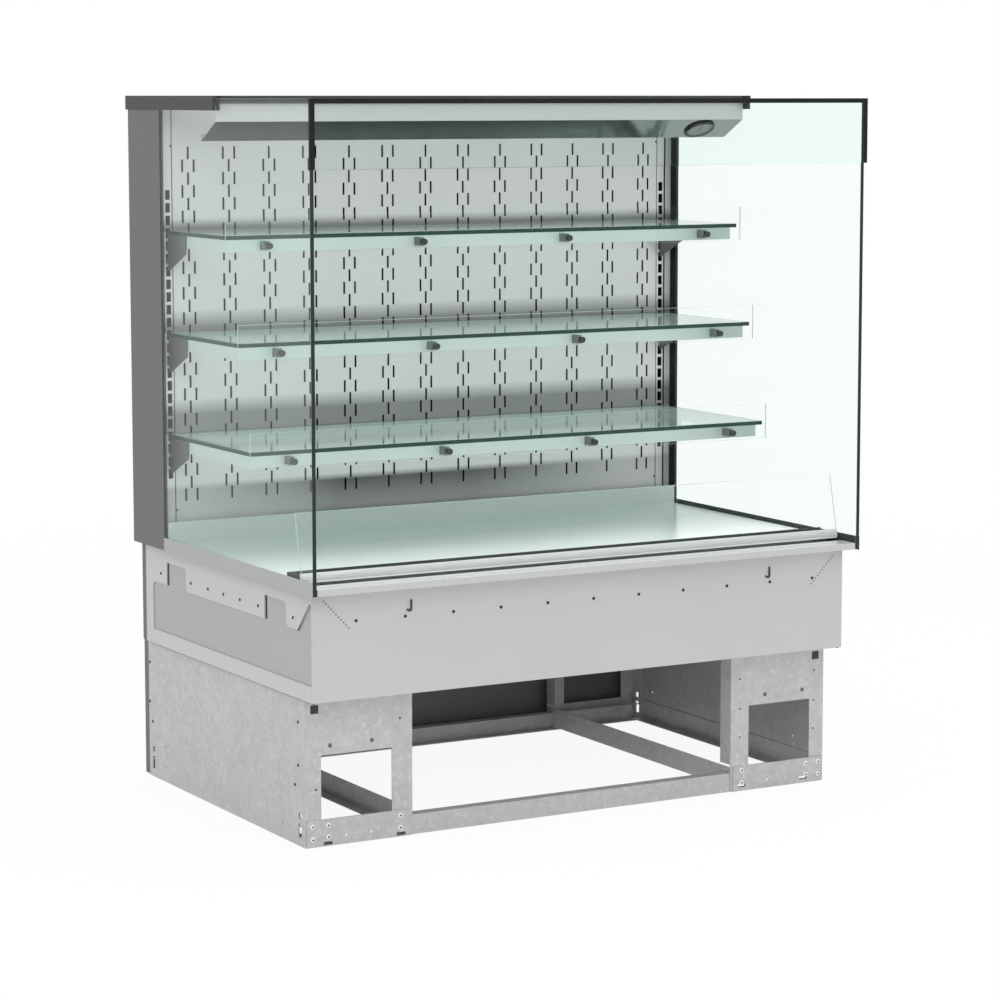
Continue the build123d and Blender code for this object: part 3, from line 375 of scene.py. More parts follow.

# Sheets: the two colours they vary between, metallic, roughness, and what they have of their own
SHEETS = {
    "light_sheet": ((0.52, 0.52, 0.52), (0.56, 0.56, 0.56), 0.1, 0.4, {}),
    # rim_sheet: its whiteness is a painted highlight on the top of the rim; its clear coat is real
    "rim_sheet": ((0.92, 0.93, 0.93), (0.97, 0.98, 0.98), 0.1, 0.15, {"coat": 1.0}),
    "recess_sheet": ((0.385, 0.388, 0.392), (0.42, 0.423, 0.427), 0.1, 0.45, {}),
    "channel_sheet": ((0.38, 0.38, 0.385), (0.42, 0.42, 0.425), 0.1, 0.4, {}),
    # deck_sheet: its near-white front is a painted reflection, and it fades by deck_shade to painted shade towards
    # the wall
    "deck_sheet": ((0.92, 0.97, 0.95), (0.96, 1.0, 0.98), 0.0, 0.2,
                   {"shade": (deck_shade, (0.54, 0.60, 0.575)), "gloss": 0.15}),
    # wall_sheet: fades by wall_shade to its dark painted shade colour
    "wall_sheet": ((0.70, 0.70, 0.705), (0.76, 0.76, 0.765), 0.15, 0.3,
                   {"shade": (wall_shade, (0.12, 0.125, 0.123)), "grain": GRAIN_UPRIGHT}),
    "rail_sheet": ((0.74, 0.75, 0.75), (0.80, 0.81, 0.81), 0.1, 0.25, {"coat": 0.3}),
    # inner_sheet: near-black, painted shade inside the uprights, the standards and the rear cover; it also blacks
    # the edges of the top glass
    "inner_sheet": ((0.014, 0.016, 0.016), (0.022, 0.024, 0.024), 0.0, 0.5, {"gloss": 0.1}),
    # frame_sheet: fades by frame_shade to painted shade towards its right end
    "frame_sheet": ((0.50, 0.59, 0.55), (0.56, 0.65, 0.61), 0.1, 0.35,
                    {"shade": (frame_shade, (0.40, 0.485, 0.45))}),
    # rear_frame_sheet: a lighter copy of frame_sheet for the rear rails, painted light
    "rear_frame_sheet": ((0.80, 0.87, 0.84), (0.86, 0.93, 0.90), 0.0, 0.35, {}),
    "dark_sheet": ((0.115, 0.115, 0.115), (0.14, 0.14, 0.14), 0.15, 0.45, {}),
    "cap_sheet": ((0.05, 0.05, 0.05), (0.062, 0.062, 0.062), 0.0, 0.5, {"gloss": 0.3}),
    # sill_sheet: dark green-black, painted shade inside the glass channels and on the sill, tinted as seen through
    # the glass
    "sill_sheet": ((0.035, 0.05, 0.046), (0.05, 0.068, 0.062), 0.1, 0.4, {}),
    # slope_steel: polished steel, dark with painted shade where it looks down, and brighter to the right by a
    # painted reflection
    "slope_steel": ((0.105, 0.098, 0.102), (0.13, 0.118, 0.124), 1.0, 0.08,
                    {"shade": (slope_painted_reflection, (0.236, 0.262, 0.256))}),
    "insulation": ((0.62, 0.61, 0.58), (0.7, 0.69, 0.66), 0.0, 0.7, {"grain": (60, 60, 60)}),
    "motor_metal": ((0.38, 0.38, 0.39), (0.5, 0.5, 0.51), 0.7, 0.45, {"grain": (200, 200, 200)}),
    "heater_metal": ((0.12, 0.1, 0.09), (0.26, 0.22, 0.2), 0.8, 0.4, {"grain": (30, 30, 30)}),
    "dial_metal": ((0.02, 0.022, 0.022), (0.04, 0.043, 0.043), 0.5, 0.25, {"grain": (90, 90, 90)}),
    "dial_face": ((0.16, 0.175, 0.17), (0.20, 0.215, 0.21), 0.0, 0.5, {"grain": (60, 60, 60)}),
    "zinc": ((0.76, 0.765, 0.77), (0.90, 0.905, 0.91), 0.2, 0.3, {"grain": (400, 400, 400)}),
    "black_steel": ((0.03, 0.03, 0.031), (0.07, 0.07, 0.071), 0.5, 0.35,
                    {"grain": (300, 300, 300)}),
}
# Moulded pieces: colour and roughness
MOULDED = {
    "black_plastic": ((0.016, 0.016, 0.017), 0.45),
    "rubber": ((0.012, 0.012, 0.012), 0.65),
    "knob_metal": ((0.022, 0.026, 0.025), 0.3),
    "spacer": ((0.12, 0.135, 0.13), 0.4),
}
# Panes: tint, colour of the edges, the way the broad faces look, and what they have of their own
PANES = {
    "end_pane": ((0.96, 1.0, 0.982), GLASS_EDGE, RIGHT,
                 {"clear": 0.98, "clear_edge": 0.0, "bend": 1.12}),
    "visor_pane": ((0.92, 0.985, 0.96), (0.5, 0.65, 0.58), BACK,
                   {"clear_edge": 0.8, "bend": 1.12, "border": (0.6025, 1.378)}),
    "top_pane": ((0.90, 0.98, 0.95), GLASS_EDGE, UP, {"clear": 0.95, "clear_edge": 0.0}),
    "shelf_pane": ((0.88, 0.97, 0.93), (0.03, 0.07, 0.055), UP,
                   {"clear": 0.85, "clear_edge": 0.2, "bend": 1.16}),
    "clear_guard": ((0.985, 1.0, 0.995), (0.55, 0.72, 0.66), BACK, {"bend": 1.15}),
    "lens": ((0.97, 0.99, 0.98), (0.7, 0.75, 0.74), DIAL_FACING, {}),
}
materials = {
    "galvanised": galvanised_steel("galvanised", (0.44, 0.445, 0.45), (0.58, 0.585, 0.59)),
}
for name, (*main, own) in SHEETS.items():
    materials[name] = sheet_metal(name, *main, **own)
for name, main in MOULDED.items():
    materials[name] = moulded(name, *main)
materials["lamp"] = lamp_cover()
for name, (*main, own) in PANES.items():
    materials[name] = pane(name, *main, **own)


# Forms built in code

NEAR_UPRIGHT = 0.9          # a facing this steep has no side of its own that looks up
DRILL_START = 1             # mm in front of the sheet
# Radii of rounded edges, in mm
GROUND_EDGE = 0.7
MOULDED_EDGE = 0.5
FOLDED_EDGE = 0.4
DRILLED_EDGE = 0.2          # on a sheet with drilled holes, where a wider one would bulge
EDGE_STEPS = 2
EDGE_ANGLE = math.radians(40)       # only edges sharper than this are rounded
FLAT_ANGLE = math.radians(1)        # faces that meet flatter than this become one
SAME_PLACE = 0.000005               # metres within which two corners become one


def square_to(facing, place_in_metres):
    """A frame at a place. Its Z looks along `facing`, and its Y as near to straight up as can be."""
    z_axis = Vector(facing).normalized()
    upward = UP if abs(z_axis.z) < NEAR_UPRIGHT else BACK
    x_axis = upward.cross(z_axis).normalized()
    y_axis = z_axis.cross(x_axis)
    matrix = Matrix((x_axis, y_axis, z_axis)).transposed().to_4x4()
    matrix.translation = place_in_metres
    return matrix


def turned(mesh, where, facing, profile, sides=12, skin=0, smooth=True):
    """Add a turned form. The profile is a list of (radius, height) in mm, seen along `facing`."""
    matrix = square_to(facing, where)
    turns = [2 * math.pi * (side + 0.5) / sides for side in range(sides)]
    rings = []
    for radius, height in profile:
        if radius == 0:
            rings.append([mesh.verts.new(matrix @ Vector((0, 0, height * MM)))])
            continue
        outline = [(radius * math.cos(turn), radius * math.sin(turn)) for turn in turns]
        rings.append([mesh.verts.new(matrix @ (Vector((u, v, height)) * MM)) for u, v in outline])
    for inner, outer in zip(rings, rings[1:]):
        for side in range(sides):
            after = (side + 1) % sides
            if len(inner) == 1:
                corners = (inner[0], outer[side], outer[after])
            elif len(outer) == 1:
                corners = (inner[side], outer[0], inner[after])
            else:
                corners = (inner[side], outer[side], outer[after], inner[after])
            face = mesh.faces.new(corners)
            face.material_index = skin
            face.smooth = smooth


def prism(mesh, where, facing, outline, back, front):
    """Add a straight form with the given outline in mm, from `back` to `front` along `facing`."""
    matrix = square_to(facing, where)
    rear, fore = [
        [mesh.verts.new(matrix @ (Vector((u, v, height)) * MM)) for u, v in outline]
        for height in (back, front)
    ]
    for side in range(len(outline)):
        after = (side + 1) % len(outline)
        mesh.faces.new((rear[side], rear[after], fore[after], fore[side]))
    mesh.faces.new(rear[::-1])
    mesh.faces.new(fore)


def rectangle(width, height):
    """Outline of a rectangle about the middle."""
    u, v = width / 2, height / 2
    return [(-u, -v), (u, -v), (u, v), (-u, v)]


def ring(radius, sides):
    """Outline of a round hole."""
    turns = [2 * math.pi * side / sides for side in range(sides)]
    return [(radius * math.cos(turn), radius * math.sin(turn)) for turn in turns]


def finished(mesh, name, host, skins, replaced=()):
    """Make an object of the mesh that moves with the host node's body and has its finish."""
    data = bpy.data.meshes.new(name)
    bmesh.ops.recalc_face_normals(mesh, faces=mesh.faces)
    mesh.to_mesh(data)
    mesh.free()
    for skin in skins:
        data.materials.append(materials[skin])
    piece = bpy.data.objects.new(name, data)
    bpy.context.scene.collection.objects.link(piece)
    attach(piece, body_of[host])
    if replaced:
        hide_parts(*replaced)
    return piece


def round_edges(piece, width):
    """Round the edges of a piece as folded, ground or moulded edges are."""
    modifier = piece.modifiers.new("edges", "BEVEL")
    modifier.width = width * MM
    modifier.segments = EDGE_STEPS
    modifier.limit_method = "ANGLE"
    modifier.angle_limit = EDGE_ANGLE
    modifier.use_clamp_overlap = True


def drill(piece, holes):
    """Cut holes through a piece. Each is a place, the way it faces, its outline and its depth."""
    cutter = bmesh.new()
    for where, facing, outline, depth in holes:
        prism(cutter, where, facing, outline, -depth, DRILL_START)
    bmesh.ops.recalc_face_normals(cutter, faces=cutter.faces)
    data = bpy.data.meshes.new("cutter")
    cutter.to_mesh(data)
    cutter.free()
    tool = bpy.data.objects.new("cutter", data)
    bpy.context.scene.collection.objects.link(tool)
    modifier = piece.modifiers.new("holes", "BOOLEAN")
    modifier.operation = "DIFFERENCE"
    modifier.solver = "EXACT"
    modifier.object = tool
    bpy.context.view_layer.update()
    drilled = piece.evaluated_get(bpy.context.evaluated_depsgraph_get())
    cut = bpy.data.meshes.new_from_object(drilled)
    piece.modifiers.clear()
    piece.data = cut
    bpy.data.objects.remove(tool)


def softened(node, skins, width, pick=None, holes=()):
    """A copy of a CAD solid with rounded edges and drilled holes.

    `pick` takes a face's middle and normal and says which of the skins it gets."""
    mesh = bmesh.new()
    mesh.from_mesh(nodes[node].data)
    bmesh.ops.remove_doubles(mesh, verts=mesh.verts, dist=SAME_PLACE)
    bmesh.ops.dissolve_limit(mesh, angle_limit=FLAT_ANGLE, verts=mesh.verts, edges=mesh.edges)
    for face in mesh.faces:
        face.smooth = False
        face.material_index = pick(face.calc_center_median(), face.normal) if pick else 0
    data = bpy.data.meshes.new(node + "_dressed")
    mesh.to_mesh(data)
    mesh.free()
    for skin in skins:
        data.materials.append(materials[skin])
    piece = bpy.data.objects.new(node + "_dressed", data)
    bpy.context.scene.collection.objects.link(piece)
    if holes:
        drill(piece, holes)
    round_edges(piece, width)
    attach(piece, body_of[node])
    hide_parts(node)


def paint(node, skin):
    """Give a CAD solid its material and leave it as it is."""
    data = nodes[node].data
    data.materials.clear()
    data.materials.append(materials[skin])
    for polygon in data.polygons:
        polygon.material_index = 0


SUNK = -0.2                 # a head starts a little inside the sheet, in mm
PIP_PROFILE = [(2.6, 0), (2.0, 0.5), (0.9, 0.8), (0, 0.85)]


def screws(name, host, places, facing, width, height, head="black_steel"):
    """Domed screws with a six-sided socket, one at each place; the socket's black floor is painted shade."""
    rim = width / 2
    socket = 0.42 * rim
    floor = 0.3 * height
    dome = [
        (rim, SUNK), (rim, 0.35 * height), (0.9 * rim, 0.65 * height),
        (0.66 * rim, 0.92 * height), (socket, height),
    ]
    mesh = bmesh.new()
    for where in places:
        turned(mesh, where, facing, dome)
        turned(mesh, where, facing, [(socket, height), (socket, floor), (0, floor)], 6, 1, False)
    finished(mesh, name, host, (head, "rubber"))


def rivets(name, host, places, facing, width, height):
    """Blind rivets: a flat bright collar round the end of the broken pin, whose dark colour is painted shade in
    its hollow.
    """
    rim = width / 2
    pin = 0.4 * rim
    collar = [
        (rim, SUNK), (rim, 0.3 * height), (0.8 * rim, 0.8 * height),
        (0.6 * rim, height), (pin, height),
    ]
    mesh = bmesh.new()
    for where in places:
        turned(mesh, where, facing, collar, 16)
        turned(mesh, where, facing, [(pin, height), (0.9 * pin, 0.1), (0, 0.1)], 8, 1)
    finished(mesh, name, host, ("zinc", "rubber"))


def dimples(name, host, places, facing, skin):
    """Small pressed pips in a sheet."""
    mesh = bmesh.new()
    for where in places:
        turned(mesh, where, facing, PIP_PROFILE, 10)
    finished(mesh, name, host, (skin,))


# Holes, by node

HOLE = ring(2.3, 10)
NOTCH_HOLE = ring(1.8, 8)
SQUARE_HOLE = rectangle(7.5, 7.5)
TAB_HOLE = rectangle(19, 6.5)
# Depths of drilling in mm, enough for the sheets that a hole goes through
THROUGH_SHEET = 4
THROUGH_SKIN = 5
THROUGH_FRAME = 9

post_setback = setback_of(low("base_post_front_left").y)
plate_setback = setback_of(low("base_foot_plates").y)
apron_setback = setback_of(low("tub_apron").y)
base_half_width = -low("base_side_left").x / MM
tub_half_width = -low("tub_side_left").x / MM

# Holes of the front: mm right of the left end glass, and mm above the floor
LEFT_POST_HOLES = ((45.7, 109), (222.6, 227))
LEFT_POST_SQUARES = ((75.3, 190), (163, 191))
RIGHT_POST_HOLES = (
    (993, 229), (993, 168), (993, 110), (1173, 230.5), (1173, 168), (1173, 110),
)
RIGHT_POST_SQUARES = ((1053.5, 192), (1144.4, 193))
TAB_PLACES = ((69.4, 5.2), (223.3, 5.2), (997.6, 10.5), (1147.1, 10.5))
# Holes of the sides: mm behind the glass front, and mm above the floor
BASE_SIDE_HOLES = ((734, 73), (735, 31), (190, 73), (186, 30))
NOTCH_HOLES = (
    (208.8, 449.5), (165.3, 448.5), (208.8, 417.5), (165.3, 418),
    (668, 450), (628, 450), (668, 418), (628, 418),
)


def post_holes(rounds, squares):
    """Round and square holes in the face of a front post."""
    return [
        (spot(from_left(x), post_setback, z), FRONT, outline, THROUGH_SHEET)
        for places, outline in ((rounds, HOLE), (squares, SQUARE_HOLE)) for x, z in places
    ]


def tab_holes(side):
    """The slots at the foot of the frame, on the left or the right side of the middle."""
    places = [(from_left(x), z) for x, z in TAB_PLACES]
    return [(spot(x, plate_setback, z), FRONT, TAB_HOLE, THROUGH_FRAME)
            for x, z in places if x * side > 0]


holes_of = {
    "base_post_front_left": post_holes(LEFT_POST_HOLES, LEFT_POST_SQUARES) + tab_holes(-1),
    "base_post_front_right": post_holes(RIGHT_POST_HOLES, RIGHT_POST_SQUARES) + tab_holes(1),
    "base_foot_plates": tab_holes(-1) + tab_holes(1),
    "base_rails": tab_holes(-1) + tab_holes(1),
}
for name, side, facing in SIDES:
    holes_of["base_side_" + name] = [
        (spot(side * base_half_width, setback, z), facing, HOLE, THROUGH_SHEET)
        for setback, z in BASE_SIDE_HOLES
    ]
    holes_of["tub_side_" + name] = [
        (spot(side * tub_half_width, setback, z), facing, NOTCH_HOLE, THROUGH_SKIN)
        for setback, z in NOTCH_HOLES
    ]


# Skins by face. Each function takes a face's middle and normal in metres, and says which skin of
# its node's row in `picks` the face gets.

SQUARE_ON = 0.9             # a normal this far along a direction faces that way
EDGE_ON = 0.5               # a normal less far than this along a direction lies across it
FORWARD = 0.2               # a normal this far to the front leans that way
CLOSE = 0.0005              # two places nearer than this count as one
GLASS_INSET = 0.0001        # a channel's faces further in than this lie inside the glass
FLANGE_INSET = 0.0066       # an upright's faces further in than this belong to its flange
BEHIND_PLATE = 0.2          # faces of a shelf's frame further back than this are its rear rail's
STANDARD_HALF = 0.0085
STANDARD_MIDDLE = high("shelf_standards").x - STANDARD_HALF


def recessed(middle, normal):
    """The recess of a tub side is a duller sheet than its border."""
    return int(abs(middle.x) < tub_half_width * MM - CLOSE)


def inward(middle, normal):
    """True of a face that looks towards the middle of the case from one of its sides."""
    return normal.x * middle.x < -SQUARE_ON * abs(middle.x)


def channel_side(middle, normal):
    """A glass channel is pale outside the glass; inside it, and on the sill, it is dark green-black: painted
    shade, tinted as seen through the glass.
    """
    return int(abs(middle.x) < HALF_WIDTH - GLASS_INSET or inward(middle, normal))


def sloped(middle, normal):
    """The slope of the canopy is polished steel, dark with painted shade, as it looks down."""
    return int(normal.z < -EDGE_ON and normal.y < -FORWARD)


def level(middle, normal):
    """The top of the rim gets a whiter, glossier sheet than its front: the gloss is real, the whiteness a painted
    highlight.
    """
    return int(normal.z > SQUARE_ON)


def wall_flange(middle, normal):
    """The flange of an upright has the finish of the wall, and the upright's inner side is near-black: painted
    shade.
    """
    if inward(middle, normal):
        return 2
    return int(normal.y < -SQUARE_ON and abs(middle.x) < HALF_WIDTH - FLANGE_INSET)


def slot_walls(middle, normal):
    """A shelf standard is pale in front and on its two outer sides, and near-black inside: painted shade in its
    slots.
    """
    outer = abs(abs(abs(middle.x) - STANDARD_MIDDLE) - STANDARD_HALF) < CLOSE
    return int(normal.y > -SQUARE_ON and not outer)


def rear_rail(middle, normal):
    """The rear rail of a shelf frame, seen through the glass plate, gets a lighter copy of the frame's sheet:
    painted light.
    """
    return int(middle.y > BEHIND_PLATE)


def pane_edge(middle, normal):
    """The edges of the top glass are black."""
    return int(abs(normal.z) < EDGE_ON)


def cover_inside(middle, normal):
    """The rear cover is near-black inside: painted shade."""
    return int(normal.y < -SQUARE_ON)


# The CAD solids, dressed

picks = {
    "glass_channels": (("channel_sheet", "sill_sheet"), channel_side),
    "canopy": (("light_sheet", "slope_steel"), sloped),
    "rim": (("light_sheet", "rim_sheet"), level),
    "shelf_standards": (("wall_sheet", "inner_sheet"), slot_walls),
    "rear_cover": (("light_sheet", "inner_sheet"), cover_inside),
    "top_glass": (("top_pane", "inner_sheet"), pane_edge),
}
for name, side, facing in SIDES:
    picks["tub_side_" + name] = (("light_sheet", "recess_sheet"), recessed)
    picks["upright_" + name] = (("dark_sheet", "wall_sheet", "inner_sheet"), wall_flange)
glazing = {
    "end_glass_left": "end_pane", "end_glass_right": "end_pane", "top_glass": "top_pane",
    "visor_glass": "visor_pane", "deck_guard": "clear_guard", "thermometer_lens": "lens",
}
special_skins = {
    "deck_plate": "deck_sheet", "deck_rail": "rail_sheet", "terminal_box": "motor_metal",
    "top_cap": "cap_sheet", "front_hooks": "black_steel",
}
remade = {"thermometer_case"}
for number in SHELVES:
    picks["shelf_%d_frame" % number] = (("frame_sheet", "rear_frame_sheet"), rear_rail)
    glazing["shelf_%d_plate" % number] = "shelf_pane"
    glazing["shelf_%d_guard" % number] = "clear_guard"
    remade.add("shelf_%d_standoffs" % number)

for name in nodes:
    if name in remade:
        continue
    if name == "back_wall":
        paint(name, "wall_sheet")
        continue
    skin = glazing.get(name) or special_skins.get(name) or slot_of[name]
    skins, pick = picks.get(name, ((skin,), None))
    holes = holes_of.get(name, ())
    width = GROUND_EDGE if name in glazing else DRILLED_EDGE if holes else FOLDED_EDGE
    softened(name, skins, width, pick, holes)


# Fasteners

# On the front: mm right of the left end glass, and mm above the floor
FRAME_RIVETS = (
    (37.6, 39.5), (37.6, 14.8), (69.9, 39.4), (69.9, 17), (221.6, 40.7), (221.6, 17),
    (997, 42.3), (997, 17), (1154, 39.7), (1154, 17), (1183.8, 40.6), (1183.8, 15.5),
)
FRAME_PIPS = ((107, 16.5), (160, 16.5), (1058, 16.5))
APRON_PIPS = ((43.2, 428.6), (43.2, 300), (1192, 430), (1194, 304))
# On the sides: mm behind the glass front, and mm above the floor
SIDE_SCREWS = ((810, 237), (813, 155), (799, 115), (113, 235), (114, 153), (128, 114))
STRIP_SCREWS = (728, 579, 497, 424, 348, 266, 114)
STRIP_SCREW_HEIGHT = 432.5
# Elsewhere: mm right of the middle, and mm above the floor
APRON_SCREWS = [-503.8 + 102.47 * step for step in range(11)]
APRON_SCREW_HEIGHT = 430.3
RAIL_SCREWS = (-566, -283, 0, 283, 566)
RAIL_SCREW_HEIGHT = 516.5
RAIL_SCREW_SETBACK = 3.2    # behind the front of the rail, which leans back
RAIL_LEAN = Vector((0, -1, 0.225)).normalized()
WALL_SCREWS = ((-571, 1292.6), (566, 1292.6), (-566, 562.6), (566, 562.6))
COVER_COLUMNS = (-585, 585)
COVER_HEIGHTS = (520, 730, 940, 1150, 1360)
COVER_BETWEEN = (-292, 0, 292)
BACK_COLUMNS = (-560, -187, 187, 560)
TUB_BACK_HEIGHTS = (302, 466)
REAR_PANEL_HEIGHTS = (22, 262)
# Black strips of painted shade in the gap between the tub and the base, shaped as sealing strips, in mm
SEAL_HEIGHT = 2.0
SEAL_THICKNESS = 4.5
SEAL_SHORTER = 6            # than the side of the tub
SEAL_DROP = 1.1             # from the foot of that side to the middle of the strip
SEAL_OUTSET = 0.2           # from the side of the base


def grid(columns, setback, heights):
    """A place for each column at each height."""
    return [spot(x, setback, z) for x in columns for z in heights]


def fasten_base():
    """Rivets of the foot plates, and screws of the side panels."""
    places = [spot(from_left(x), plate_setback, z) for x, z in FRAME_RIVETS]
    rivets("frame_rivets", "base_foot_plates", places, FRONT, 10, 1.6)
    places = [spot(from_left(x), plate_setback, z) for x, z in FRAME_PIPS]
    dimples("frame_dimples", "base_foot_plates", places, FRONT, "zinc")
    for name, side, facing in SIDES:
        places = [spot(side * base_half_width, setback, z) for setback, z in SIDE_SCREWS]
        screws("side_screws_" + name, "base_side_" + name, places, facing, 6.5, 1.4)


def fasten_tub():
    """Screws of the tub's apron and side strips, and the pips of the apron."""
    places = [spot(x, apron_setback, APRON_SCREW_HEIGHT) for x in APRON_SCREWS]
    screws("apron_screws", "tub_apron", places, FRONT, 6.4, 1.6)
    places = [spot(from_left(x), apron_setback, z) for x, z in APRON_PIPS]
    dimples("apron_dimples", "tub_apron", places, FRONT, "light_sheet")
    for name, side, facing in SIDES:
        places = [spot(side * tub_half_width, setback, STRIP_SCREW_HEIGHT)
                  for setback in STRIP_SCREWS]
        screws("strip_screws_" + name, "tub_side_" + name, places, facing, 6.4, 1.6)


def seal_tub():
    """Black strips between the sides of the tub and the base: painted shade in the gap there, shaped as sealing
    strips.
    """
    for name, side, facing in SIDES:
        host = "tub_side_" + name
        foot = low(host).z / MM
        front = setback_of(low(host).y)
        rear = setback_of(high(host).y)
        x = side * (base_half_width + SEAL_OUTSET)
        where = spot(x, (front + rear) / 2, foot - SEAL_DROP)
        mesh = bmesh.new()
        outline = rectangle(rear - front - SEAL_SHORTER, SEAL_HEIGHT)
        prism(mesh, where, facing, outline, 0, SEAL_THICKNESS)
        finished(mesh, "tub_gap_shade_" + name, host, ("rubber",))


def fasten_upper():
    """Screws of the deck rail and the back wall, and all those of the back."""
    front = setback_of(low("deck_rail").y)
    places = grid(RAIL_SCREWS, front + RAIL_SCREW_SETBACK, (RAIL_SCREW_HEIGHT,))
    screws("rail_screws", "deck_rail", places, RAIL_LEAN, 5.5, 1.0, "zinc")
    front = setback_of(low("back_wall").y)
    places = [spot(x, front, z) for x, z in WALL_SCREWS]
    screws("wall_screws", "back_wall", places, FRONT, 4.5, 0.8)
    back = setback_of(high("rear_cover").y)
    places = grid(COVER_COLUMNS, back, COVER_HEIGHTS)
    places += grid(COVER_BETWEEN, back, (COVER_HEIGHTS[0], COVER_HEIGHTS[-1]))
    screws("cover_screws", "rear_cover", places, BACK, 8, 1.8)
    for name, host, heights in (("tub_back_screws", "tub_back", TUB_BACK_HEIGHTS),
                                ("rear_panel_screws", "base_rear_panel", REAR_PANEL_HEIGHTS)):
        places = grid(BACK_COLUMNS, setback_of(high(host).y), heights)
        screws(name, host, places, BACK, 7, 1.6)


fasten_base()
fasten_tub()
seal_tub()
fasten_upper()


# Perforated folds at the front corners of the tub, and painted shade inside its hook slots

DASHES = 11
DASH_BACK = -0.3
DASH_FRONT = 0.12
SIDE_DASH = rectangle(4.6, 4.4)
APRON_DASH = rectangle(2.8, 2.2)
# The ends of a side's fold are mm behind the glass front and above the floor, and those of the
# apron's fold are mm from the middle and above the floor.
SIDE_FOLD = ((42, 467), (94, 411))
APRON_FOLD = ((573.2, 474.6), (516.3, 415.9))
HOOK_SLOTS = (233.5, 694.5)
HOOK_SLOT_HEIGHT = 435
LINER = rectangle(7.6, 45.4)
LINER_INSET = 0.3
LINER_BACK = -3.0
LINER_FRONT = -2.6


def perforations(name, host, ends, facing, outline):
    """A row of small dark dashes between two places: painted shade in the holes of a perforated fold."""
    mesh = bmesh.new()
    for step in range(DASHES):
        where = ends[0].lerp(ends[1], (step + 0.5) / DASHES)
        prism(mesh, where, facing, outline, DASH_BACK, DASH_FRONT)
    finished(mesh, name, host, ("rubber",))


def slot_liners(name, side, facing):
    """Dark plates a little way inside the slots where a trim panel hooks on: painted shade in the slots."""
    mesh = bmesh.new()
    x = side * (tub_half_width - LINER_INSET)
    for setback in HOOK_SLOTS:
        where = spot(x, setback, HOOK_SLOT_HEIGHT)
        prism(mesh, where, facing, LINER, LINER_BACK, LINER_FRONT)
    finished(mesh, "slot_liners_" + name, "tub_side_" + name, ("rubber",))


for name, side, facing in SIDES:
    host = "tub_side_" + name
    ends = [spot(side * tub_half_width, setback, z) for setback, z in SIDE_FOLD]
    perforations("fold_" + host, host, ends, facing, SIDE_DASH)
    slot_liners(name, side, facing)
for name, side, facing in SIDES:
    ends = [spot(side * x, apron_setback, z) for x, z in APRON_FOLD]
    perforations("fold_apron_" + name, "tub_apron", ends, FRONT, APRON_DASH)


# Standoffs of the shelf guards

STANDOFF_COUNT = 4
SPACER_WIDTH = 12.0
SPACER_HEIGHT = 17.0
SPACER_FLANGE = 3.0
WAIST_NARROWER = 2.4
BOLT_WIDTH = 5
GUARD_THICKNESS = 4.0
KNOB_LENGTH = 13.0
KNOB_PROFILE = [
    (0, 0), (4.6, 0), (4.6, 1.4), (6.3, 2.0), (6.4, 3.0), (6.4, 10.8), (6.0, 12.2),
    (5.0, 13.0), (3.4, 13.0), (3.0, 12.3), (0, 12.3),
]


def make_standoffs(number):
    """Moulded spacers behind a shelf's guard, with turned knobs in front of it."""
    node = "shelf_%d_standoffs" % number
    height = (low(node).z + high(node).z) / 2 / MM
    left = low(node).x / MM + SPACER_WIDTH / 2
    pitch = -2 * left / (STANDOFF_COUNT - 1)
    face = setback_of(high(node).y)
    knob_back = setback_of(low(node).y) + KNOB_LENGTH
    depth = face - knob_back - GUARD_THICKNESS
    wide = rectangle(SPACER_WIDTH, SPACER_HEIGHT)
    waist = rectangle(SPACER_WIDTH - WAIST_NARROWER, SPACER_HEIGHT - WAIST_NARROWER)
    bolt = rectangle(BOLT_WIDTH, BOLT_WIDTH)
    mesh = bmesh.new()
    for step in range(STANDOFF_COUNT):
        x = left + step * pitch
        foot = spot(x, face, height)
        knob = spot(x, knob_back, height)
        prism(mesh, foot, FRONT, wide, 0, SPACER_FLANGE)
        prism(mesh, foot, FRONT, waist, SPACER_FLANGE, depth - SPACER_FLANGE)
        prism(mesh, foot, FRONT, wide, depth - SPACER_FLANGE, depth)
        prism(mesh, knob, FRONT, bolt, -GUARD_THICKNESS, 0)
        turned(mesh, knob, FRONT, KNOB_PROFILE, 18, 1)
    piece = finished(mesh, node + "_dressed", node, ("spacer", "knob_metal"), (node,))
    round_edges(piece, MOULDED_EDGE)


for number in SHELVES:
    make_standoffs(number)


# Dial thermometer on the slope of the canopy

DIAL_SCALE = (0, 20, 40, 60, 80, 100, 120)
SCALE_SWEEP = 270           # degrees from the first number to the last
TICKS_BETWEEN = 3
TICK_EDGE = 24.5            # radius at which the ticks end, in mm
TICK_RISE = 0.12
LONG_TICK = (0.7, 4.0)      # width and length
SHORT_TICK = (0.4, 2.2)
NUMBER_RADIUS = 17.2
NUMBER_SIZE = 5.2
NUMBER_DEPTH = 0.04
NUMBER_RISE = 0.1
DIAL_FACE = 0.5             # height of the dial over the slope, in mm
CASE_SIDES = 64
CASE_PROFILE = [
    (0, -16), (26.5, -16), (28, -14.5), (28, -0.1), (32.6, -0.1), (33, 0.4), (33, 2.6), (32.2, 4.2),
    (30.6, 5.0), (28.2, 4.9), (26.8, 4.2), (26.2, 3.4), (26.2, DIAL_FACE),
]
FACE_PROFILE = [(26.2, DIAL_FACE), (0, DIAL_FACE)]


def on_dial(angle, radius):
    """A place on the dial, by degrees clockwise from the top as seen from the front."""
    turn = math.radians(angle)
    flat = Vector((radius * math.sin(turn), radius * math.cos(turn), DIAL_FACE)) * MM
    return square_to(DIAL_FACING, DIAL_MIDDLE) @ flat


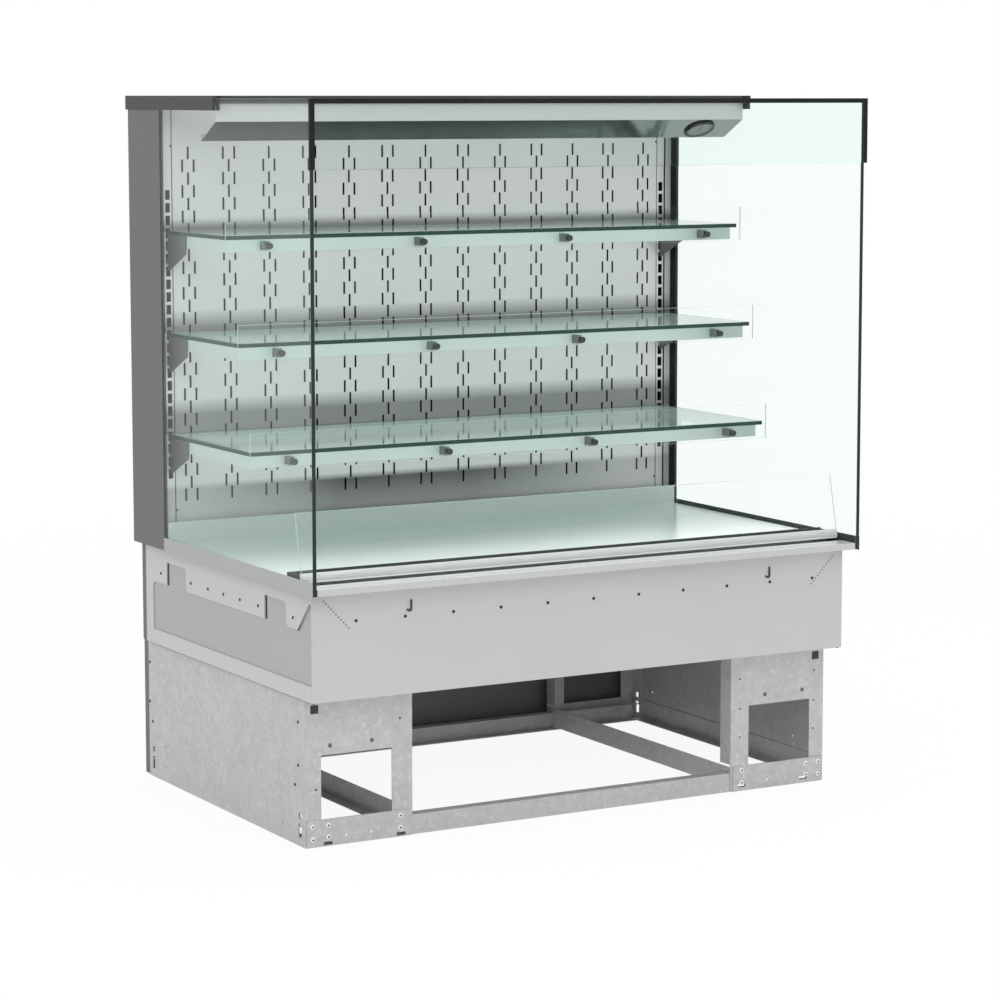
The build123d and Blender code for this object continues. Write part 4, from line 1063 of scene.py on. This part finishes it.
def make_thermometer():
    """Turned case with a rounded bezel, and a dial with ticks."""
    mesh = bmesh.new()
    turned(mesh, DIAL_MIDDLE, DIAL_FACING, CASE_PROFILE, CASE_SIDES, 0)
    turned(mesh, DIAL_MIDDLE, DIAL_FACING, FACE_PROFILE, CASE_SIDES, 1, False)
    upright = square_to(DIAL_FACING, DIAL_MIDDLE).to_3x3()
    gaps = (len(DIAL_SCALE) - 1) * (TICKS_BETWEEN + 1)
    for step in range(gaps + 1):
        angle = (step / gaps - 0.5) * SCALE_SWEEP
        width, length = SHORT_TICK if step % (TICKS_BETWEEN + 1) else LONG_TICK
        middle = on_dial(angle, TICK_EDGE - length / 2)
        turn = Matrix.Rotation(-math.radians(angle), 3, "Z")
        corners = [upright @ (turn @ (Vector((u, v, TICK_RISE)) * MM))
                   for u, v in rectangle(width, length)]
        face = mesh.faces.new([mesh.verts.new(middle + corner) for corner in corners])
        face.material_index = 2
    finished(mesh, "thermometer_case_dressed", "thermometer_case",
             ("dial_metal", "dial_face", "rubber"), ("thermometer_case",))


def number_dial():
    """Plain numbers round the dial, inside the ticks."""
    for index, number in enumerate(DIAL_SCALE):
        angle = (index / (len(DIAL_SCALE) - 1) - 0.5) * SCALE_SWEEP
        letters = bpy.data.curves.new("dial_number", "FONT")
        letters.body = str(number)
        letters.size = NUMBER_SIZE * MM
        letters.align_x = "CENTER"
        letters.align_y = "CENTER"
        letters.extrude = NUMBER_DEPTH * MM
        letters.materials.append(materials["rubber"])
        piece = bpy.data.objects.new("dial_number_%d" % number, letters)
        bpy.context.scene.collection.objects.link(piece)
        where = on_dial(angle, NUMBER_RADIUS) + DIAL_FACING * NUMBER_RISE * MM
        piece.matrix_world = square_to(DIAL_FACING, where)
        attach(piece, body_of["thermometer_case"])


make_thermometer()
number_dial()


# Stage: floor, light and camera

FLOOR_SIZE = 60
FLOOR_GREY = 0.9
FLOOR_GLOW_NEAR = 0.92
FLOOR_GLOW_FAR = 1.0
FLOOR_NEAR = 1.6
FLOOR_FAR = 4.5
FLOOR_FILL = 0.28           # share of the glow that lights the case from below
SKY_LIGHT = 0.85
KEY_WATTS = 65
TOP_WATTS = 50


def make_floor():
    """Plain pale floor that glows to the camera, so that the shadow on it stays faint.

    A smaller share of the glow goes to everything else, and lights the case from below."""
    bpy.ops.mesh.primitive_plane_add(size=FLOOR_SIZE, location=(0, 0, 0))
    floor = bpy.context.object
    floor.name = "floor"
    material, tree, shader = new_material("floor")
    shader.inputs["Base Color"].default_value = (FLOOR_GREY, FLOOR_GREY, FLOOR_GREY, 1)
    shader.inputs["Roughness"].default_value = 0.9
    glow = add(tree, "ShaderNodeEmission")
    glow.inputs["Strength"].default_value = 1.0
    away = add(tree, "ShaderNodeVectorMath", operation="LENGTH")
    tree.links.new(place(tree), away.inputs[0])
    distance = away.outputs["Value"]
    share = spread(tree, distance, FLOOR_GLOW_NEAR, FLOOR_GLOW_FAR, FLOOR_NEAR, FLOOR_FAR)
    path = add(tree, "ShaderNodeLightPath")
    seen = seen_through_glass(tree, path)
    share = calculate(tree, "MAXIMUM", calculate(tree, "MULTIPLY", share, seen), FLOOR_FILL)
    surface = tree.nodes["Material Output"].inputs["Surface"]
    mix_shaders(tree, share, shader.outputs["BSDF"], glow.outputs["Emission"], surface)
    floor.data.materials.append(material)


def make_world():
    """White to the camera, in gloss and through glass, and a soft even light from all round."""
    world = bpy.data.worlds.new("studio")
    bpy.context.scene.world = world
    world.use_nodes = True
    tree = world.node_tree
    light = tree.nodes["Background"]
    light.inputs["Color"].default_value = (1, 1, 1, 1)
    light.inputs["Strength"].default_value = SKY_LIGHT
    white = add(tree, "ShaderNodeBackground")
    white.inputs["Color"].default_value = (1, 1, 1, 1)
    white.inputs["Strength"].default_value = 1.0
    path = add(tree, "ShaderNodeLightPath")
    seen = seen_through_glass(tree, path)
    seen = calculate(tree, "MAXIMUM", seen, path.outputs["Is Glossy Ray"])
    surface = tree.nodes["World Output"].inputs["Surface"]
    mix_shaders(tree, seen, light.outputs["Background"], white.outputs["Background"], surface)


def area_light(name, where, target, size, energy):
    """A soft lamp that looks at the target."""
    lamp = bpy.data.lights.new(name, "AREA")
    lamp.shape = "RECTANGLE"
    lamp.size, lamp.size_y = size
    lamp.energy = energy
    piece = bpy.data.objects.new(name, lamp)
    bpy.context.scene.collection.objects.link(piece)
    piece.location = where
    piece.rotation_euler = (Vector(target) - Vector(where)).to_track_quat("-Z", "Y").to_euler()


CAMERA_PLACE = (-3.0432, -5.4110, 1.3930)
CAMERA_TURN = 0.52010       # radians to the right
CAMERA_DIP = 0.11666        # radians downward
FOCAL_PIXELS = 3091.54
IMAGE_PIXELS = 1000
IMAGE_CENTRE = (516.83, 457.44)
SENSOR_WIDTH = 36


def make_camera():
    """The camera recovered from the photograph's straight edges."""
    camera = bpy.data.cameras.new("camera")
    camera.sensor_width = SENSOR_WIDTH
    camera.lens = FOCAL_PIXELS / IMAGE_PIXELS * camera.sensor_width
    camera.shift_x = (IMAGE_PIXELS / 2 - IMAGE_CENTRE[0]) / IMAGE_PIXELS
    camera.shift_y = (IMAGE_CENTRE[1] - IMAGE_PIXELS / 2) / IMAGE_PIXELS
    camera.clip_end = 100
    piece = bpy.data.objects.new("camera", camera)
    bpy.context.scene.collection.objects.link(piece)
    piece.location = CAMERA_PLACE
    piece.rotation_euler = (math.pi / 2 - CAMERA_DIP, 0, -CAMERA_TURN)
    bpy.context.scene.camera = piece


make_floor()
make_world()
area_light("key", where=(-3.5, -4.5, 4.2), target=(0, 0, 0.8), size=(3, 3), energy=KEY_WATTS)
area_light("top", where=(0.5, -0.3, 4.0), target=(0, 0, 0.6), size=(3, 2.5), energy=TOP_WATTS)
make_camera()
bpy.context.scene.view_settings.view_transform = "Standard"

bpy.context.view_layer.update()
